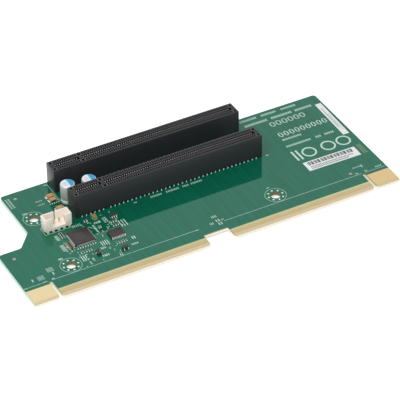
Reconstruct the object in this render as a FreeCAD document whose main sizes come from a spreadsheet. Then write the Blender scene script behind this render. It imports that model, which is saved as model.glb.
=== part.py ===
import FreeCAD, Part

import math
import os

import Sketcher

# Riser card: a printed circuit board that plugs in by the gold fingers along its front edge and
# carries two long card sockets side by side. X runs along the card edge, Y from the fingers to the
# rear edge, Z up from the tips of the socket pegs, which are the lowest points of the card.

doc = FreeCAD.newDocument("riser_card")
sheet = doc.addObject("Spreadsheet::Sheet", "Sizes")
nodes = []


# Driving dimensions in millimetres, in groups by piece

sizes = {
    # Board outline
    "board_depth": 71.3,
    "board_thickness": 1.57,
    "finger_pitch": 0.75,
    "fingers_per_section": 90,
    "key_notch_width": 11.4,
    "key_notch_depth": 6.6,
    "key_notch_radius": 0.5,
    "tab_gap_width": 1.35,
    "tab_gap_depth": 10.4,
    "power_tab_width": 11.1,
    "shoulder_inset": 17.3,
    "shoulder_depth": 35.6,
    "shoulder_run": 6.8,
    "shoulder_rise": 8.0,
    "rear_corner_radius": 1.5,
    "shoulder_radius": 2.0,
    "section_corner_chamfer": 0.8,
    "bevel_length": 1.3,
    "bevel_drop": 0.45,
    # Copper on the board
    "copper_thickness": 0.05,
    "finger_width": 0.5,
    "finger_length": 3.4,
    "power_pad_length": 7.7,
    "power_pad_margin": 0.2,
    # Mounting holes
    "mounting_radius": 2.2,
    "mounting_left": -62.0,
    "mounting_right": 33.9,
    "mounting_front": -19.85,
    "mounting_rear": 15.3,
    # Card sockets
    "socket_width": 7.5,
    "socket_height": 11.25,
    "socket_left": -46.6,
    "front_socket_front": 6.65,
    "socket_spacing": 20.32,
    "mouth_width": 1.75,
    "mouth_lead_in": 0.3,
    "ridge_width": 0.7,
    "ridge_depth": 1.3,
    "window_width": 1.45,
    "end_wall": 1.975,
    "key_width": 1.75,
    "floor_underside": 0.7,
    "floor_top": 2.85,
    "foot_length": 2.4,
    "peg_radius": 1.175,
    "peg_length": 2.6,
    "peg_hole_clearance": 0.1,
    "far_peg_inset": 1.4,
    # Socket contacts
    "contact_pitch": 1.0,
    "short_contacts": 11,
    "long_contacts": 71,
    "contact_width": 0.5,
    "bay_margin": 0.575,
    "contact_thickness": 0.35,
    "contact_foot": 1.95,
    "contact_crown": 0.55,
    "contact_height": 10.65,
    "slit_margin": 0.1,
    # Capacitors
    "can_radius": 3.15,
    "can_height": 9.5,
    "can_edge": 0.45,
    "can_bead_height": 1.7,
    "can_neck_depth": 0.35,
    "can_neck_height": 0.5,
    "seal_radius": 2.6,
    "seal_height": 0.4,
    "can_lead_radius": 0.3,
    "can_lead_pitch": 2.5,
    "lead_hole_clearance": 0.1,
    "lead_tail": 0.7,
    "left_can_across": -44.2,
    "left_can_along": 19.1,
    "right_can_across": -34.8,
    "right_can_along": 17.85,
    # Fan header
    "header_left": -62.2,
    "header_front": 3.1,
    "header_length": 12.0,
    "header_depth": 4.75,
    "header_height": 7.0,
    "header_wall": 0.7,
    "header_floor": 2.4,
    "header_window_inset": 3.1,
    "header_window_length": 5.9,
    "header_slit_width": 0.6,
    "header_foot_height": 0.9,
    "header_foot_gap": 1.25,
    "header_foot_recess": 1.0,
    "header_pin_count": 4,
    "header_pin_pitch": 2.5,
    "header_pin_width": 0.64,
    "header_pin_top": 4.8,
    # Controller and driver chips
    "controller_width": 9.0,
    "controller_height": 0.85,
    "controller_across": -50.35,
    "controller_along": -5.35,
    "controller_corner": 0.5,
    "driver_length": 6.5,
    "driver_width": 4.4,
    "driver_height": 1.1,
    "driver_across": -36.65,
    "driver_along": -10.45,
    "driver_leads_per_side": 10,
    "driver_lead_pitch": 0.65,
    "driver_lead_width": 0.25,
    "driver_reach": 1.0,
    "moulding_draft": 0.12,
    "lead_thickness": 0.15,
    "lead_foot_length": 0.5,
    # Small chips with leads
    "small_chip_length": 2.9,
    "small_chip_width": 1.5,
    "small_chip_height": 1.1,
    "small_chip_reach": 0.6,
    "small_lead_width": 0.4,
    "small_lead_pitch": 0.95,
    "regulator_across": -32.3,
    "regulator_along": 0.9,
    "transistor_across": -37.7,
    "transistor_along": -20.9,
    "diode_across": -48.8,
    "diode_along": -18.4,
    "diode_turn": 90.0,
    # Two-ended chips
    "ceramic_length": 3.2,
    "ceramic_width": 2.3,
    "ceramic_height": 1.0,
    "ceramic_left": -51.2,
    "ceramic_rear_along": 25.55,
    "ceramic_middle_along": 22.85,
    "ceramic_front_along": 16.2,
    "chip_length": 1.0,
    "chip_width": 0.5,
    "chip_height": 0.4,
    "filter_length": 1.6,
    "filter_width": 0.8,
    "filter_height": 0.8,
    "small_length": 1.0,
    "small_width": 0.5,
    "small_height": 0.5,
    "bulk_length": 2.6,
    "bulk_width": 2.0,
    "bulk_height": 1.0,
    # Rows of two-ended chips
    "near_row_across": -54.9,
    "near_row_pitch": 1.15,
    "first_row_along": -11.55,
    "first_row_count": 8,
    "second_row_along": -14.9,
    "second_row_count": 5,
    "side_column_across": -56.9,
    "side_column_along": 0.95,
    "side_column_pitch": 1.15,
    "side_column_count": 4,
    "filter_column_along": -6.9,
    "filter_column_pitch": 1.15,
    "filter_column_count": 4,
    "driver_row_across": -39.3,
    "driver_row_along": -16.3,
    "driver_row_pitch": 1.1,
    "driver_row_count": 5,
    "middle_row_across": -44.6,
    "middle_row_along": 3.35,
    "middle_row_pitch": 1.15,
    "middle_row_count": 2,
    "regulator_row_across": -35.25,
    "regulator_row_along": -2.6,
    "regulator_row_pitch": 1.15,
    "regulator_row_count": 3,
    "inner_row_across": -41.05,
    "inner_row_along": -3.1,
    "inner_row_pitch": 0.85,
    "inner_row_count": 2,
    # Single two-ended chips
    "outer_small_across": -42.2,
    "outer_small_along": -8.6,
    "bulk_across": -39.7,
    "bulk_along": 3.9,
    # Labels
    "label_thickness": 0.1,
    "label_length": 25.4,
    "label_width": 6.4,
    "label_across": 67.8,
    "label_along": -9.45,
    "label_turn": -0.8,
    "strip_width": 2.9,
    "strip_across": 82.97,
    "strip_along": 16.05,
    "strip_turn": -1.45,
}

for row, (alias, value) in enumerate(sizes.items(), start=1):
    sheet.set(f"A{row}", alias)
    sheet.set(f"B{row}", str(value))
    sheet.setAlias(f"B{row}", alias)
doc.recompute()


# Lengths that follow from the driving dimensions, written as expressions

SECTION = "(Sizes.finger_pitch * Sizes.fingers_per_section)"
TAB_INNER = f"(Sizes.key_notch_width / 2 + {SECTION} + Sizes.tab_gap_width)"
SECTION_OUTER = f"(Sizes.key_notch_width / 2 + {SECTION})"
HALF_WIDTH = f"({TAB_INNER} + Sizes.power_tab_width)"
HALF_DEPTH = "(Sizes.board_depth / 2)"
SHOULDER_LEFT = f"(-{HALF_WIDTH} + Sizes.shoulder_inset)"
SHOULDER_TOP = f"(-{HALF_DEPTH} + Sizes.shoulder_depth)"
BOARD_TOP = "Sizes.peg_length"
BOARD_BOTTOM = "(Sizes.peg_length - Sizes.board_thickness)"
FINGER_FRONT = f"(-{HALF_DEPTH} + Sizes.bevel_length)"
REAR_SOCKET_FRONT = "(Sizes.front_socket_front + Sizes.socket_spacing)"
SHORT_BAY = ("((Sizes.short_contacts - 1) * Sizes.contact_pitch + Sizes.contact_width"
             " + 2 * Sizes.bay_margin)")
LONG_BAY = SHORT_BAY.replace("short", "long")
LONG_BAY_START = f"(Sizes.end_wall + {SHORT_BAY} + Sizes.key_width)"
SOCKET_LENGTH = f"({LONG_BAY_START} + {LONG_BAY} + Sizes.end_wall)"
KEY_CENTRE = f"(Sizes.end_wall + {SHORT_BAY} + Sizes.key_width / 2)"
FAR_PEG = f"({SOCKET_LENGTH} - Sizes.far_peg_inset)"
MIDDLE = "(Sizes.socket_width / 2)"
EIGHT_CORNERS = [45 * i + 22.5 for i in range(8)]
FOUR_CORNERS = [90 * i + 45 for i in range(4)]


# Helpers that make sketches and features

def origin_part(body, role):
    """The body's own origin plane or axis with this role."""
    return next(item for item in body.Origin.OriginFeatures if item.Role == role)


def new_body(name):
    body = doc.addObject("PartDesign::Body", name)
    body.Label = name
    return body


def place(item, across="0", along="0", up="0", turn="0"):
    """Bind an object's place in the card's frame, and its turn about Z, to expressions."""
    item.setExpression("Placement.Base.x", across)
    item.setExpression("Placement.Base.y", along)
    item.setExpression("Placement.Base.z", up)
    item.setExpression("Placement.Rotation.Angle", turn)


def outline(body, name, plane, corners, height="0"):
    """A closed sketch of straight edges whose corners are pairs of expressions."""
    sketch = body.newObject("Sketcher::SketchObject", name)
    sketch.AttachmentSupport = (origin_part(body, plane), [""])
    sketch.MapMode = "FlatFace"
    sketch.setExpression("AttachmentOffset.Base.z", height)
    add_loop(sketch, corners)
    return sketch


def add_loop(sketch, corners):
    """Add one closed loop of edges to a sketch and bind each corner to its two expressions."""
    first = sketch.GeometryCount
    count = len(corners)
    turn = 2 * math.pi / count
    start = [FreeCAD.Vector(math.cos(turn * i), math.sin(turn * i), 0) for i in range(count)]
    edges = [Part.LineSegment(start[i], start[(i + 1) % count]) for i in range(count)]
    sketch.addGeometry(edges, False)
    for i in range(count):
        sketch.addConstraint(
            Sketcher.Constraint("Coincident", first + i, 2, first + (i + 1) % count, 1))
    for i, (across, along) in enumerate(corners):
        bind(sketch, Sketcher.Constraint("DistanceX", first + i, 1, start[i].x), across)
        bind(sketch, Sketcher.Constraint("DistanceY", first + i, 1, start[i].y), along)


def bind(sketch, constraint, expression):
    index = sketch.addConstraint(constraint)
    sketch.setExpression(f"Constraints[{index}]", expression)


def rectangle(left, front, length, width):
    """Corner expressions of a rectangle from its low corner and its two sizes."""
    right = f"({left} + {length})"
    rear = f"({front} + {width})"
    return [(left, front), (right, front), (right, rear), (left, rear)]


def many_sided(body, name, radius, centres, height="0", angles=EIGHT_CORNERS):
    """A sketch of equal straight-sided outlines with corners on a radius about each centre."""
    sketch = None
    for across, along in centres:
        corners = [(f"({across} + {radius} * cos({angle}))", f"({along} + {radius} * sin({angle}))")
                   for angle in angles]
        if sketch is None:
            sketch = outline(body, name, "XY_Plane", corners, height)
        else:
            add_loop(sketch, corners)
    return sketch


def circles(body, name, radius, centres):
    """A sketch of equal circles whose centres are pairs of expressions."""
    sketch = body.newObject("Sketcher::SketchObject", name)
    sketch.AttachmentSupport = (origin_part(body, "XY_Plane"), [""])
    sketch.MapMode = "FlatFace"
    for i, (across, along) in enumerate(centres):
        start = FreeCAD.Vector(i + 1, 0, 0)
        sketch.addGeometry(Part.Circle(start, FreeCAD.Vector(0, 0, 1), 0.4), False)
        bind(sketch, Sketcher.Constraint("DistanceX", i, 3, start.x), across)
        bind(sketch, Sketcher.Constraint("DistanceY", i, 3, 1.0), along)
        bind(sketch, Sketcher.Constraint("Radius", i, 0.4), radius)
    return sketch


def pad(body, sketch, length, reversed_way=False):
    feature = body.newObject("PartDesign::Pad", f"{sketch.Name}_pad")
    feature.Profile = sketch
    feature.setExpression("Length", length)
    feature.Reversed = reversed_way
    return feature


def pocket(body, sketch, length, reversed_way=False):
    feature = body.newObject("PartDesign::Pocket", f"{sketch.Name}_pocket")
    feature.Profile = sketch
    feature.setExpression("Length", length)
    feature.Reversed = reversed_way
    return feature


def pattern(body, feature, axis, pitch, count, backwards=False):
    """Repeat one feature along an axis of the body, with a pitch between copies."""
    copies = body.newObject("PartDesign::LinearPattern", f"{feature.Name}_row")
    copies.Originals = [feature]
    copies.Direction = (origin_part(body, axis), [""])
    copies.Reversed = backwards
    copies.Mode = "Spacing"
    copies.setExpression("Offset", pitch)
    copies.setExpression("Occurrences", count)
    body.Tip = copies
    return copies


def upright_edges(shape, places):
    """Names of the straight edges that stand along Z at the given places in plan."""
    names = []
    for i, edge in enumerate(shape.Edges):
        low, high = edge.Vertexes[0].Point, edge.Vertexes[-1].Point
        stands = abs(low.x - high.x) < 1e-6 and abs(low.y - high.y) < 1e-6
        if stands and any(math.hypot(low.x - x, low.y - y) < 1e-3 for x, y in places):
            names.append(f"Edge{i + 1}")
    return names


def dress_upright(body, kind, name, amount, places):
    """Round or chamfer the upright edges at these places by one amount."""
    doc.recompute()
    base = body.Tip
    feature = body.newObject(f"PartDesign::{kind}", name)
    feature.Base = (base, upright_edges(base.Shape, places))
    feature.setExpression({"Fillet": "Radius", "Chamfer": "Size"}[kind], amount)
    return feature


def keep(item, name):
    """List a finished sub-part under the name of its file."""
    item.Label = name
    nodes.append((name, item))


def size(alias):
    return float(sheet.get(alias))


# Circuit board: the outline with its card-edge sections, key notch, power tabs and left shoulder,
# drilled for the mounting screws, the socket pegs and the leads, and bevelled along its front edge

half_section = size("finger_pitch") * size("fingers_per_section")
notch_side = size("key_notch_width") / 2
section_outer = notch_side + half_section
tab_inner = section_outer + size("tab_gap_width")
half_width = tab_inner + size("power_tab_width")
half_depth = size("board_depth") / 2
shoulder_left = -half_width + size("shoulder_inset")
shoulder_top = -half_depth + size("shoulder_depth")
notch_rear = -half_depth + size("key_notch_depth")

GAP_REAR = f"(-{HALF_DEPTH} + Sizes.tab_gap_depth)"
NOTCH_REAR = f"(-{HALF_DEPTH} + Sizes.key_notch_depth)"
NOTCH_SIDE = "(Sizes.key_notch_width / 2)"

board_corners = [
    (f"-{HALF_WIDTH}", f"-{HALF_DEPTH}"),
    (f"-{TAB_INNER}", f"-{HALF_DEPTH}"),
    (f"-{TAB_INNER}", GAP_REAR),
    (f"-{SECTION_OUTER}", GAP_REAR),
    (f"-{SECTION_OUTER}", f"-{HALF_DEPTH}"),
    (f"-{NOTCH_SIDE}", f"-{HALF_DEPTH}"),
    (f"-{NOTCH_SIDE}", NOTCH_REAR),
    (NOTCH_SIDE, NOTCH_REAR),
    (NOTCH_SIDE, f"-{HALF_DEPTH}"),
    (SECTION_OUTER, f"-{HALF_DEPTH}"),
    (SECTION_OUTER, GAP_REAR),
    (TAB_INNER, GAP_REAR),
    (TAB_INNER, f"-{HALF_DEPTH}"),
    (HALF_WIDTH, f"-{HALF_DEPTH}"),
    (HALF_WIDTH, HALF_DEPTH),
    (SHOULDER_LEFT, HALF_DEPTH),
    (SHOULDER_LEFT, f"({SHOULDER_TOP} + Sizes.shoulder_rise)"),
    (f"({SHOULDER_LEFT} - Sizes.shoulder_run)", SHOULDER_TOP),
    (f"-{HALF_WIDTH}", SHOULDER_TOP),
]


def lead_centres(across, along):
    """Centres of a capacitor's two leads."""
    return [(f"({across} + {side} * Sizes.can_lead_pitch / 2)", along) for side in (-1, 1)]


def header_pin_centres():
    """Centres of the header's pins, spread about the middle of its length."""
    row = "Sizes.header_left + Sizes.header_length / 2"
    along = "(Sizes.header_front + Sizes.header_depth / 2)"
    middle = (int(size("header_pin_count")) - 1) / 2
    return [(f"({row} + ({i - middle}) * Sizes.header_pin_pitch)", along)
            for i in range(int(size("header_pin_count")))]


def peg_centres(front):
    """Centres of the two locating pegs of the socket with this front face."""
    return [(f"(Sizes.socket_left + {station})", f"({front} + {MIDDLE})")
            for station in (KEY_CENTRE, FAR_PEG)]


board = new_body("circuit_board")
place(board, up=BOARD_BOTTOM)
pad(board, outline(board, "board_outline", "XY_Plane", board_corners), "Sizes.board_thickness")
dress_upright(board, "Fillet", "rear_corners", "Sizes.rear_corner_radius", [
    (half_width, half_depth), (shoulder_left, half_depth), (-half_width, shoulder_top)])
dress_upright(board, "Fillet", "shoulder_bends", "Sizes.shoulder_radius", [
    (shoulder_left, shoulder_top + size("shoulder_rise")),
    (shoulder_left - size("shoulder_run"), shoulder_top)])
dress_upright(board, "Chamfer", "section_corners", "Sizes.section_corner_chamfer", [
    (side * x, -half_depth) for side in (-1, 1) for x in (notch_side, section_outer, tab_inner)])
dress_upright(board, "Fillet", "notch_corners", "Sizes.key_notch_radius", [
    (side * notch_side, notch_rear) for side in (-1, 1)])

mounting_holes = circles(board, "mounting_holes", "Sizes.mounting_radius", [
    ("Sizes.mounting_left", "Sizes.mounting_front"),
    ("Sizes.mounting_right", "Sizes.mounting_front"),
    ("Sizes.mounting_left", "Sizes.mounting_rear")])
peg_holes = many_sided(board, "peg_holes", "(Sizes.peg_radius + Sizes.peg_hole_clearance)",
                       peg_centres("Sizes.front_socket_front") + peg_centres(REAR_SOCKET_FRONT))
can_holes = many_sided(board, "can_lead_holes", "(Sizes.can_lead_radius + Sizes.lead_hole_clearance)",
                       lead_centres("Sizes.left_can_across", "Sizes.left_can_along")
                       + lead_centres("Sizes.right_can_across", "Sizes.right_can_along"))
pin_holes = many_sided(board, "header_pin_holes",
                       "((Sizes.header_pin_width + Sizes.lead_hole_clearance) * sqrt(2) / 2)",
                       header_pin_centres(), angles=FOUR_CORNERS)
for holes in (mounting_holes, peg_holes, can_holes, pin_holes):
    pocket(board, holes, "Sizes.board_thickness", reversed_way=True)

bevels = outline(board, "edge_bevels", "YZ_Plane", [
    (f"-{HALF_DEPTH}", "Sizes.board_thickness"),
    (f"-{HALF_DEPTH}", "(Sizes.board_thickness - Sizes.bevel_drop)"),
    (FINGER_FRONT, "Sizes.board_thickness")])
add_loop(bevels, [(f"-{HALF_DEPTH}", "0"), (FINGER_FRONT, "0"), (f"-{HALF_DEPTH}", "Sizes.bevel_drop")])
bevel_cut = pocket(board, bevels, f"2 * {HALF_WIDTH}")
bevel_cut.Midplane = True
keep(board, "circuit_board")


# Edge fingers: rows of thin gold-plated strips on both faces of the two card-edge sections

def finger_row(name, section_left, level):
    """One row of separate fingers that starts at this end of a section, on one face."""
    row = new_body(name)
    place(row, up=level)
    first = f"({section_left} + (Sizes.finger_pitch - Sizes.finger_width) / 2)"
    strip = outline(row, f"{name}_strip", "XY_Plane", rectangle(
        first, FINGER_FRONT, "Sizes.finger_width", "Sizes.finger_length"))
    finger = pad(row, strip, "Sizes.copper_thickness")
    doc.recompute()
    pattern(row, finger, "X_Axis", "Sizes.finger_pitch", "Sizes.fingers_per_section")
    keep(row, name)


COPPER_UNDER = f"({BOARD_BOTTOM} - Sizes.copper_thickness)"
for side_name, section_left in (("left", f"-{SECTION_OUTER}"), ("right", NOTCH_SIDE)):
    finger_row(f"edge_fingers_top_{side_name}", section_left, BOARD_TOP)
    finger_row(f"edge_fingers_bottom_{side_name}", section_left, COPPER_UNDER)


# Power pads: one wide gold pad on each face of the two outer tabs

def power_pad(name, tab_left, level):
    item = doc.addObject("Part::Box", name)
    item.setExpression("Length", "Sizes.power_tab_width - 2 * Sizes.power_pad_margin")
    item.setExpression("Width", "Sizes.power_pad_length")
    item.setExpression("Height", "Sizes.copper_thickness")
    place(item, f"{tab_left} + Sizes.power_pad_margin", FINGER_FRONT, level)
    keep(item, name)


for side_name, tab_left in (("left", f"-{HALF_WIDTH}"), ("right", TAB_INNER)):
    power_pad(f"power_pad_top_{side_name}", tab_left, BOARD_TOP)
    power_pad(f"power_pad_bottom_{side_name}", tab_left, COPPER_UNDER)


# Card sockets: a moulded housing with a keyed mouth between two rows of spring contacts, a floor
# that the contacts pass through, feet that lift the floor off the board, and two locating pegs

def socket_interior():
    """Cross-section of a bay: the mouth, the two contact chambers and the window channel each side."""
    top = "Sizes.socket_height"
    under = f"({top} - Sizes.ridge_depth)"
    mouth = "(Sizes.mouth_width / 2)"
    ridge = f"({mouth} + Sizes.ridge_width)"
    window = f"({ridge} + Sizes.window_width)"
    lead_in = f"({mouth} + Sizes.mouth_lead_in)"
    lead_low = f"({top} - Sizes.mouth_lead_in)"
    rear_side = [
        (f"({MIDDLE} + {window})", "Sizes.floor_top"),
        (f"({MIDDLE} + {window})", top),
        (f"({MIDDLE} + {ridge})", top),
        (f"({MIDDLE} + {ridge})", under),
        (f"({MIDDLE} + {mouth})", under),
        (f"({MIDDLE} + {mouth})", lead_low),
        (f"({MIDDLE} + {lead_in})", top),
    ]
    front_side = [(across.replace(f"{MIDDLE} +", f"{MIDDLE} -"), up) for across, up in rear_side]
    return rear_side + front_side[::-1]


def socket_housing(name, front):
    """One housing, modelled from its own left, front, lower corner and placed on the board."""
    body = new_body(name)
    place(body, "Sizes.socket_left", front, BOARD_TOP)
    pad(body, outline(body, f"{name}_plan", "XY_Plane", rectangle(
        "0", "0", SOCKET_LENGTH, "Sizes.socket_width")), "Sizes.socket_height")
    bays = (("short", "Sizes.end_wall", SHORT_BAY), ("long", LONG_BAY_START, LONG_BAY))
    for bay, start, length in bays:
        section = outline(body, f"{name}_{bay}_bay", "YZ_Plane", socket_interior(), start)
        pocket(body, section, length, reversed_way=True)
    lean = "((Sizes.contact_foot - Sizes.contact_crown) * Sizes.floor_top / Sizes.contact_height)"
    half_slit = "(Sizes.contact_thickness / 2 + Sizes.slit_margin)"
    for bay, start, length in bays:
        for side, way in (("near", "-"), ("far", "+")):
            wide = f"({MIDDLE} {way} (Sizes.contact_foot + {half_slit}))"
            close = f"({MIDDLE} {way} (Sizes.contact_foot - {lean} - {half_slit}))"
            stop = f"({start} + {length})"
            slit = outline(body, f"{name}_{bay}_{side}_slit", "XY_Plane", [
                (start, wide), (stop, wide), (stop, close), (start, close)])
            pocket(body, slit, "Sizes.floor_top", reversed_way=True)
    under = outline(body, f"{name}_underside", "YZ_Plane", rectangle(
        "0", "0", "Sizes.socket_width", "Sizes.floor_underside"), "Sizes.foot_length")
    pocket(body, under, f"{SOCKET_LENGTH} - 2 * Sizes.foot_length", reversed_way=True)
    pegs = many_sided(body, f"{name}_pegs", "Sizes.peg_radius", [
        (KEY_CENTRE, MIDDLE), (FAR_PEG, MIDDLE)], "Sizes.floor_underside")
    pad(body, pegs, "Sizes.peg_length + Sizes.floor_underside", reversed_way=True)
    keep(body, name)


def contact_row(name, front, way):
    """One row of spring contacts that lean in from the board and taper to their tips in the mouth."""
    body = new_body(name)
    place(body, "Sizes.socket_left", front, BOARD_TOP)
    foot = f"{MIDDLE} {way} Sizes.contact_foot"
    crown = f"{MIDDLE} {way} Sizes.contact_crown"
    half = "Sizes.contact_thickness / 2"
    leaf = [(f"({foot} - {half})", "0"), (f"({foot} + {half})", "0"),
            (f"({crown})", "Sizes.contact_height")]
    bays = (("short", "Sizes.end_wall", "Sizes.short_contacts"),
            ("long", LONG_BAY_START, "Sizes.long_contacts"))
    for bay, start, count in bays:
        side = outline(body, f"{name}_{bay}", "YZ_Plane", leaf, f"{start} + Sizes.bay_margin")
        contact = pad(body, side, "Sizes.contact_width")
        doc.recompute()
        pattern(body, contact, "X_Axis", "Sizes.contact_pitch", count)
    keep(body, name)


for socket_name, socket_front in (("front", "Sizes.front_socket_front"), ("rear", REAR_SOCKET_FRONT)):
    socket_housing(f"{socket_name}_socket_housing", socket_front)
    contact_row(f"{socket_name}_socket_contacts_near", socket_front, "-")
    contact_row(f"{socket_name}_socket_contacts_far", socket_front, "+")


# Polymer capacitors: a drawn aluminium can with a rolled neck, a rubber seal and two leads

def capacitor(name, across, along):
    can = new_body(f"{name}_can")
    place(can, across, along, f"{BOARD_TOP} + Sizes.seal_height")
    inner = "(Sizes.can_radius - Sizes.can_edge)"
    neck = "(Sizes.can_radius - Sizes.can_neck_depth)"
    height = "(Sizes.can_height - Sizes.seal_height)"
    neck_low = "Sizes.can_bead_height"
    profile = outline(can, f"{name}_profile", "XZ_Plane", [
        ("0", "0"),
        ("Sizes.can_radius", "0"),
        ("Sizes.can_radius", f"({neck_low} - Sizes.can_neck_depth)"),
        (neck, neck_low),
        ("Sizes.can_radius", f"({neck_low} + Sizes.can_neck_height)"),
        ("Sizes.can_radius", f"({height} - Sizes.can_edge)"),
        (inner, height),
        ("0", height)])
    turned = can.newObject("PartDesign::Revolution", f"{name}_turned")
    turned.Profile = profile
    turned.ReferenceAxis = (profile, ["V_Axis"])
    keep(can, f"{name}_can")

    seal = new_body(f"{name}_seal")
    place(seal, up=BOARD_TOP)
    disc = many_sided(seal, f"{name}_disc", "Sizes.seal_radius", [(across, along)])
    pad(seal, disc, "Sizes.seal_height")
    keep(seal, f"{name}_seal")

    leads = new_body(f"{name}_leads")
    place(leads, up=f"{BOARD_BOTTOM} - Sizes.lead_tail")
    wires = many_sided(leads, f"{name}_wires", "Sizes.can_lead_radius", lead_centres(across, along))
    pad(leads, wires, "Sizes.board_thickness + Sizes.lead_tail")
    keep(leads, f"{name}_leads")


capacitor("left_capacitor", "Sizes.left_can_across", "Sizes.left_can_along")
capacitor("right_capacitor", "Sizes.right_can_across", "Sizes.right_can_along")


# Fan header: an open-topped white housing with a low front window, a slit in its rear wall and
# feet along its front, on four square pins

header = new_body("header_housing")
place(header, "Sizes.header_left", "Sizes.header_front", BOARD_TOP)
pad(header, outline(header, "header_plan", "XY_Plane", rectangle(
    "0", "0", "Sizes.header_length", "Sizes.header_depth")), "Sizes.header_height")
header_cuts = [
    ("header_cavity", "Sizes.header_wall", "Sizes.header_wall",
        "Sizes.header_length - 2 * Sizes.header_wall", "Sizes.header_depth - 2 * Sizes.header_wall"),
    ("header_window", "Sizes.header_window_inset", "0",
        "Sizes.header_window_length", "Sizes.header_wall"),
    ("header_slit", "(Sizes.header_length - Sizes.header_slit_width) / 2",
        "Sizes.header_depth - Sizes.header_wall", "Sizes.header_slit_width", "Sizes.header_wall"),
]
for cut_name, cut_left, cut_front, cut_length, cut_width in header_cuts:
    plan = outline(header, cut_name, "XY_Plane", rectangle(
        f"({cut_left})", f"({cut_front})", f"({cut_length})", f"({cut_width})"),
        "Sizes.header_floor")
    pocket(header, plan, "Sizes.header_height - Sizes.header_floor", reversed_way=True)
first_gap = ("(Sizes.header_length - (Sizes.header_pin_count - 1) * Sizes.header_pin_pitch"
             " - Sizes.header_foot_gap) / 2")
gap_plan = outline(header, "header_feet", "XY_Plane", rectangle(
    first_gap, "0", "Sizes.header_foot_gap", "Sizes.header_foot_recess"))
gap_cut = pocket(header, gap_plan, "Sizes.header_foot_height", reversed_way=True)
doc.recompute()
pattern(header, gap_cut, "X_Axis", "Sizes.header_pin_pitch", "Sizes.header_pin_count")
pin_shafts = outline(header, "header_pin_shafts", "XY_Plane", rectangle(
    "((Sizes.header_length - (Sizes.header_pin_count - 1) * Sizes.header_pin_pitch"
    " - Sizes.header_pin_width) / 2)",
    "((Sizes.header_depth - Sizes.header_pin_width) / 2)",
    "Sizes.header_pin_width", "Sizes.header_pin_width"))
shaft_cut = pocket(header, pin_shafts, "Sizes.header_floor", reversed_way=True)
doc.recompute()
pattern(header, shaft_cut, "X_Axis", "Sizes.header_pin_pitch", "Sizes.header_pin_count")
keep(header, "header_housing")

pins = new_body("header_pins")
place(pins, up=f"{BOARD_BOTTOM} - Sizes.lead_tail")
pin_across, pin_along = header_pin_centres()[0]
pin_plan = outline(pins, "header_pin_plan", "XY_Plane", rectangle(
    f"({pin_across} - Sizes.header_pin_width / 2)", f"({pin_along} - Sizes.header_pin_width / 2)",
    "Sizes.header_pin_width", "Sizes.header_pin_width"))
pin = pad(pins, pin_plan, "Sizes.lead_tail + Sizes.board_thickness + Sizes.header_pin_top")
doc.recompute()
pattern(pins, pin, "X_Axis", "Sizes.header_pin_pitch", "Sizes.header_pin_count")
keep(pins, "header_pins")


# Chips: a flat square controller, a driver with gull-wing leads on two sides, and three small chips

controller = new_body("controller_chip")
place(controller, "Sizes.controller_across - Sizes.controller_width / 2",
      "Sizes.controller_along - Sizes.controller_width / 2", BOARD_TOP)
controller_corners = [
    ("0", "Sizes.controller_corner"),
    ("Sizes.controller_corner", "0")] + rectangle(
        "0", "0", "Sizes.controller_width", "Sizes.controller_width")[1:]
pad(controller, outline(controller, "controller_plan", "XY_Plane", controller_corners),
    "Sizes.controller_height")
keep(controller, "controller_chip")


def moulded_body(name, across, along, length, width, height, turn="0"):
    """A moulded package: both long sides slope away from the parting line at half height."""
    body = new_body(name)
    place(body, across, along, BOARD_TOP, turn)
    lift = "Sizes.lead_thickness"
    waist = f"(({height} + {lift}) / 2)"
    top_half = f"({width} / 2 - Sizes.moulding_draft)"
    section = outline(body, f"{name}_section", "YZ_Plane", [
        (f"-{top_half}", lift), (top_half, lift), (f"({width} / 2)", waist),
        (top_half, height), (f"-{top_half}", height), (f"(-{width} / 2)", waist)],
        f"-{length} / 2")
    pad(body, section, length)
    return body


def gull_wing(way, width, height, reach):
    """Side view of a lead: a leg from the package's waist that broadens to a foot on the board."""
    waist = f"(({height} + Sizes.lead_thickness) / 2)"
    toe = f"({way}({width} / 2 + {reach}))"
    heel = f"({way}({width} / 2 + {reach} - Sizes.lead_foot_length))"
    root = f"({way}({width} / 2))"
    return [(toe, "0"), (heel, "0"), (root, f"({waist} - Sizes.lead_thickness / 2)"),
            (root, f"({waist} + Sizes.lead_thickness / 2)")]


def leads_of(body, name, start, way, sizes, lead_width, pitch, count):
    """A row of leads along one side of a package, first lead at start."""
    width, height, reach = sizes
    side = outline(body, name, "YZ_Plane", gull_wing(way, width, height, reach), start)
    lead = pad(body, side, lead_width)
    doc.recompute()
    if count != "1":
        pattern(body, lead, "X_Axis", pitch, count)


driver_sizes = ("Sizes.driver_width", "Sizes.driver_height", "Sizes.driver_reach")
keep(moulded_body("driver_chip", "Sizes.driver_across", "Sizes.driver_along",
                  "Sizes.driver_length", *driver_sizes[:2]), "driver_chip")
driver_leads = new_body("driver_leads")
place(driver_leads, "Sizes.driver_across", "Sizes.driver_along", BOARD_TOP)
first_lead = ("-((Sizes.driver_leads_per_side - 1) * Sizes.driver_lead_pitch"
              " + Sizes.driver_lead_width) / 2")
for lead_side, lead_way in (("near", "-"), ("far", "")):
    leads_of(driver_leads, f"driver_leads_{lead_side}", first_lead, lead_way, driver_sizes,
             "Sizes.driver_lead_width", "Sizes.driver_lead_pitch", "Sizes.driver_leads_per_side")
keep(driver_leads, "driver_leads")

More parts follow.
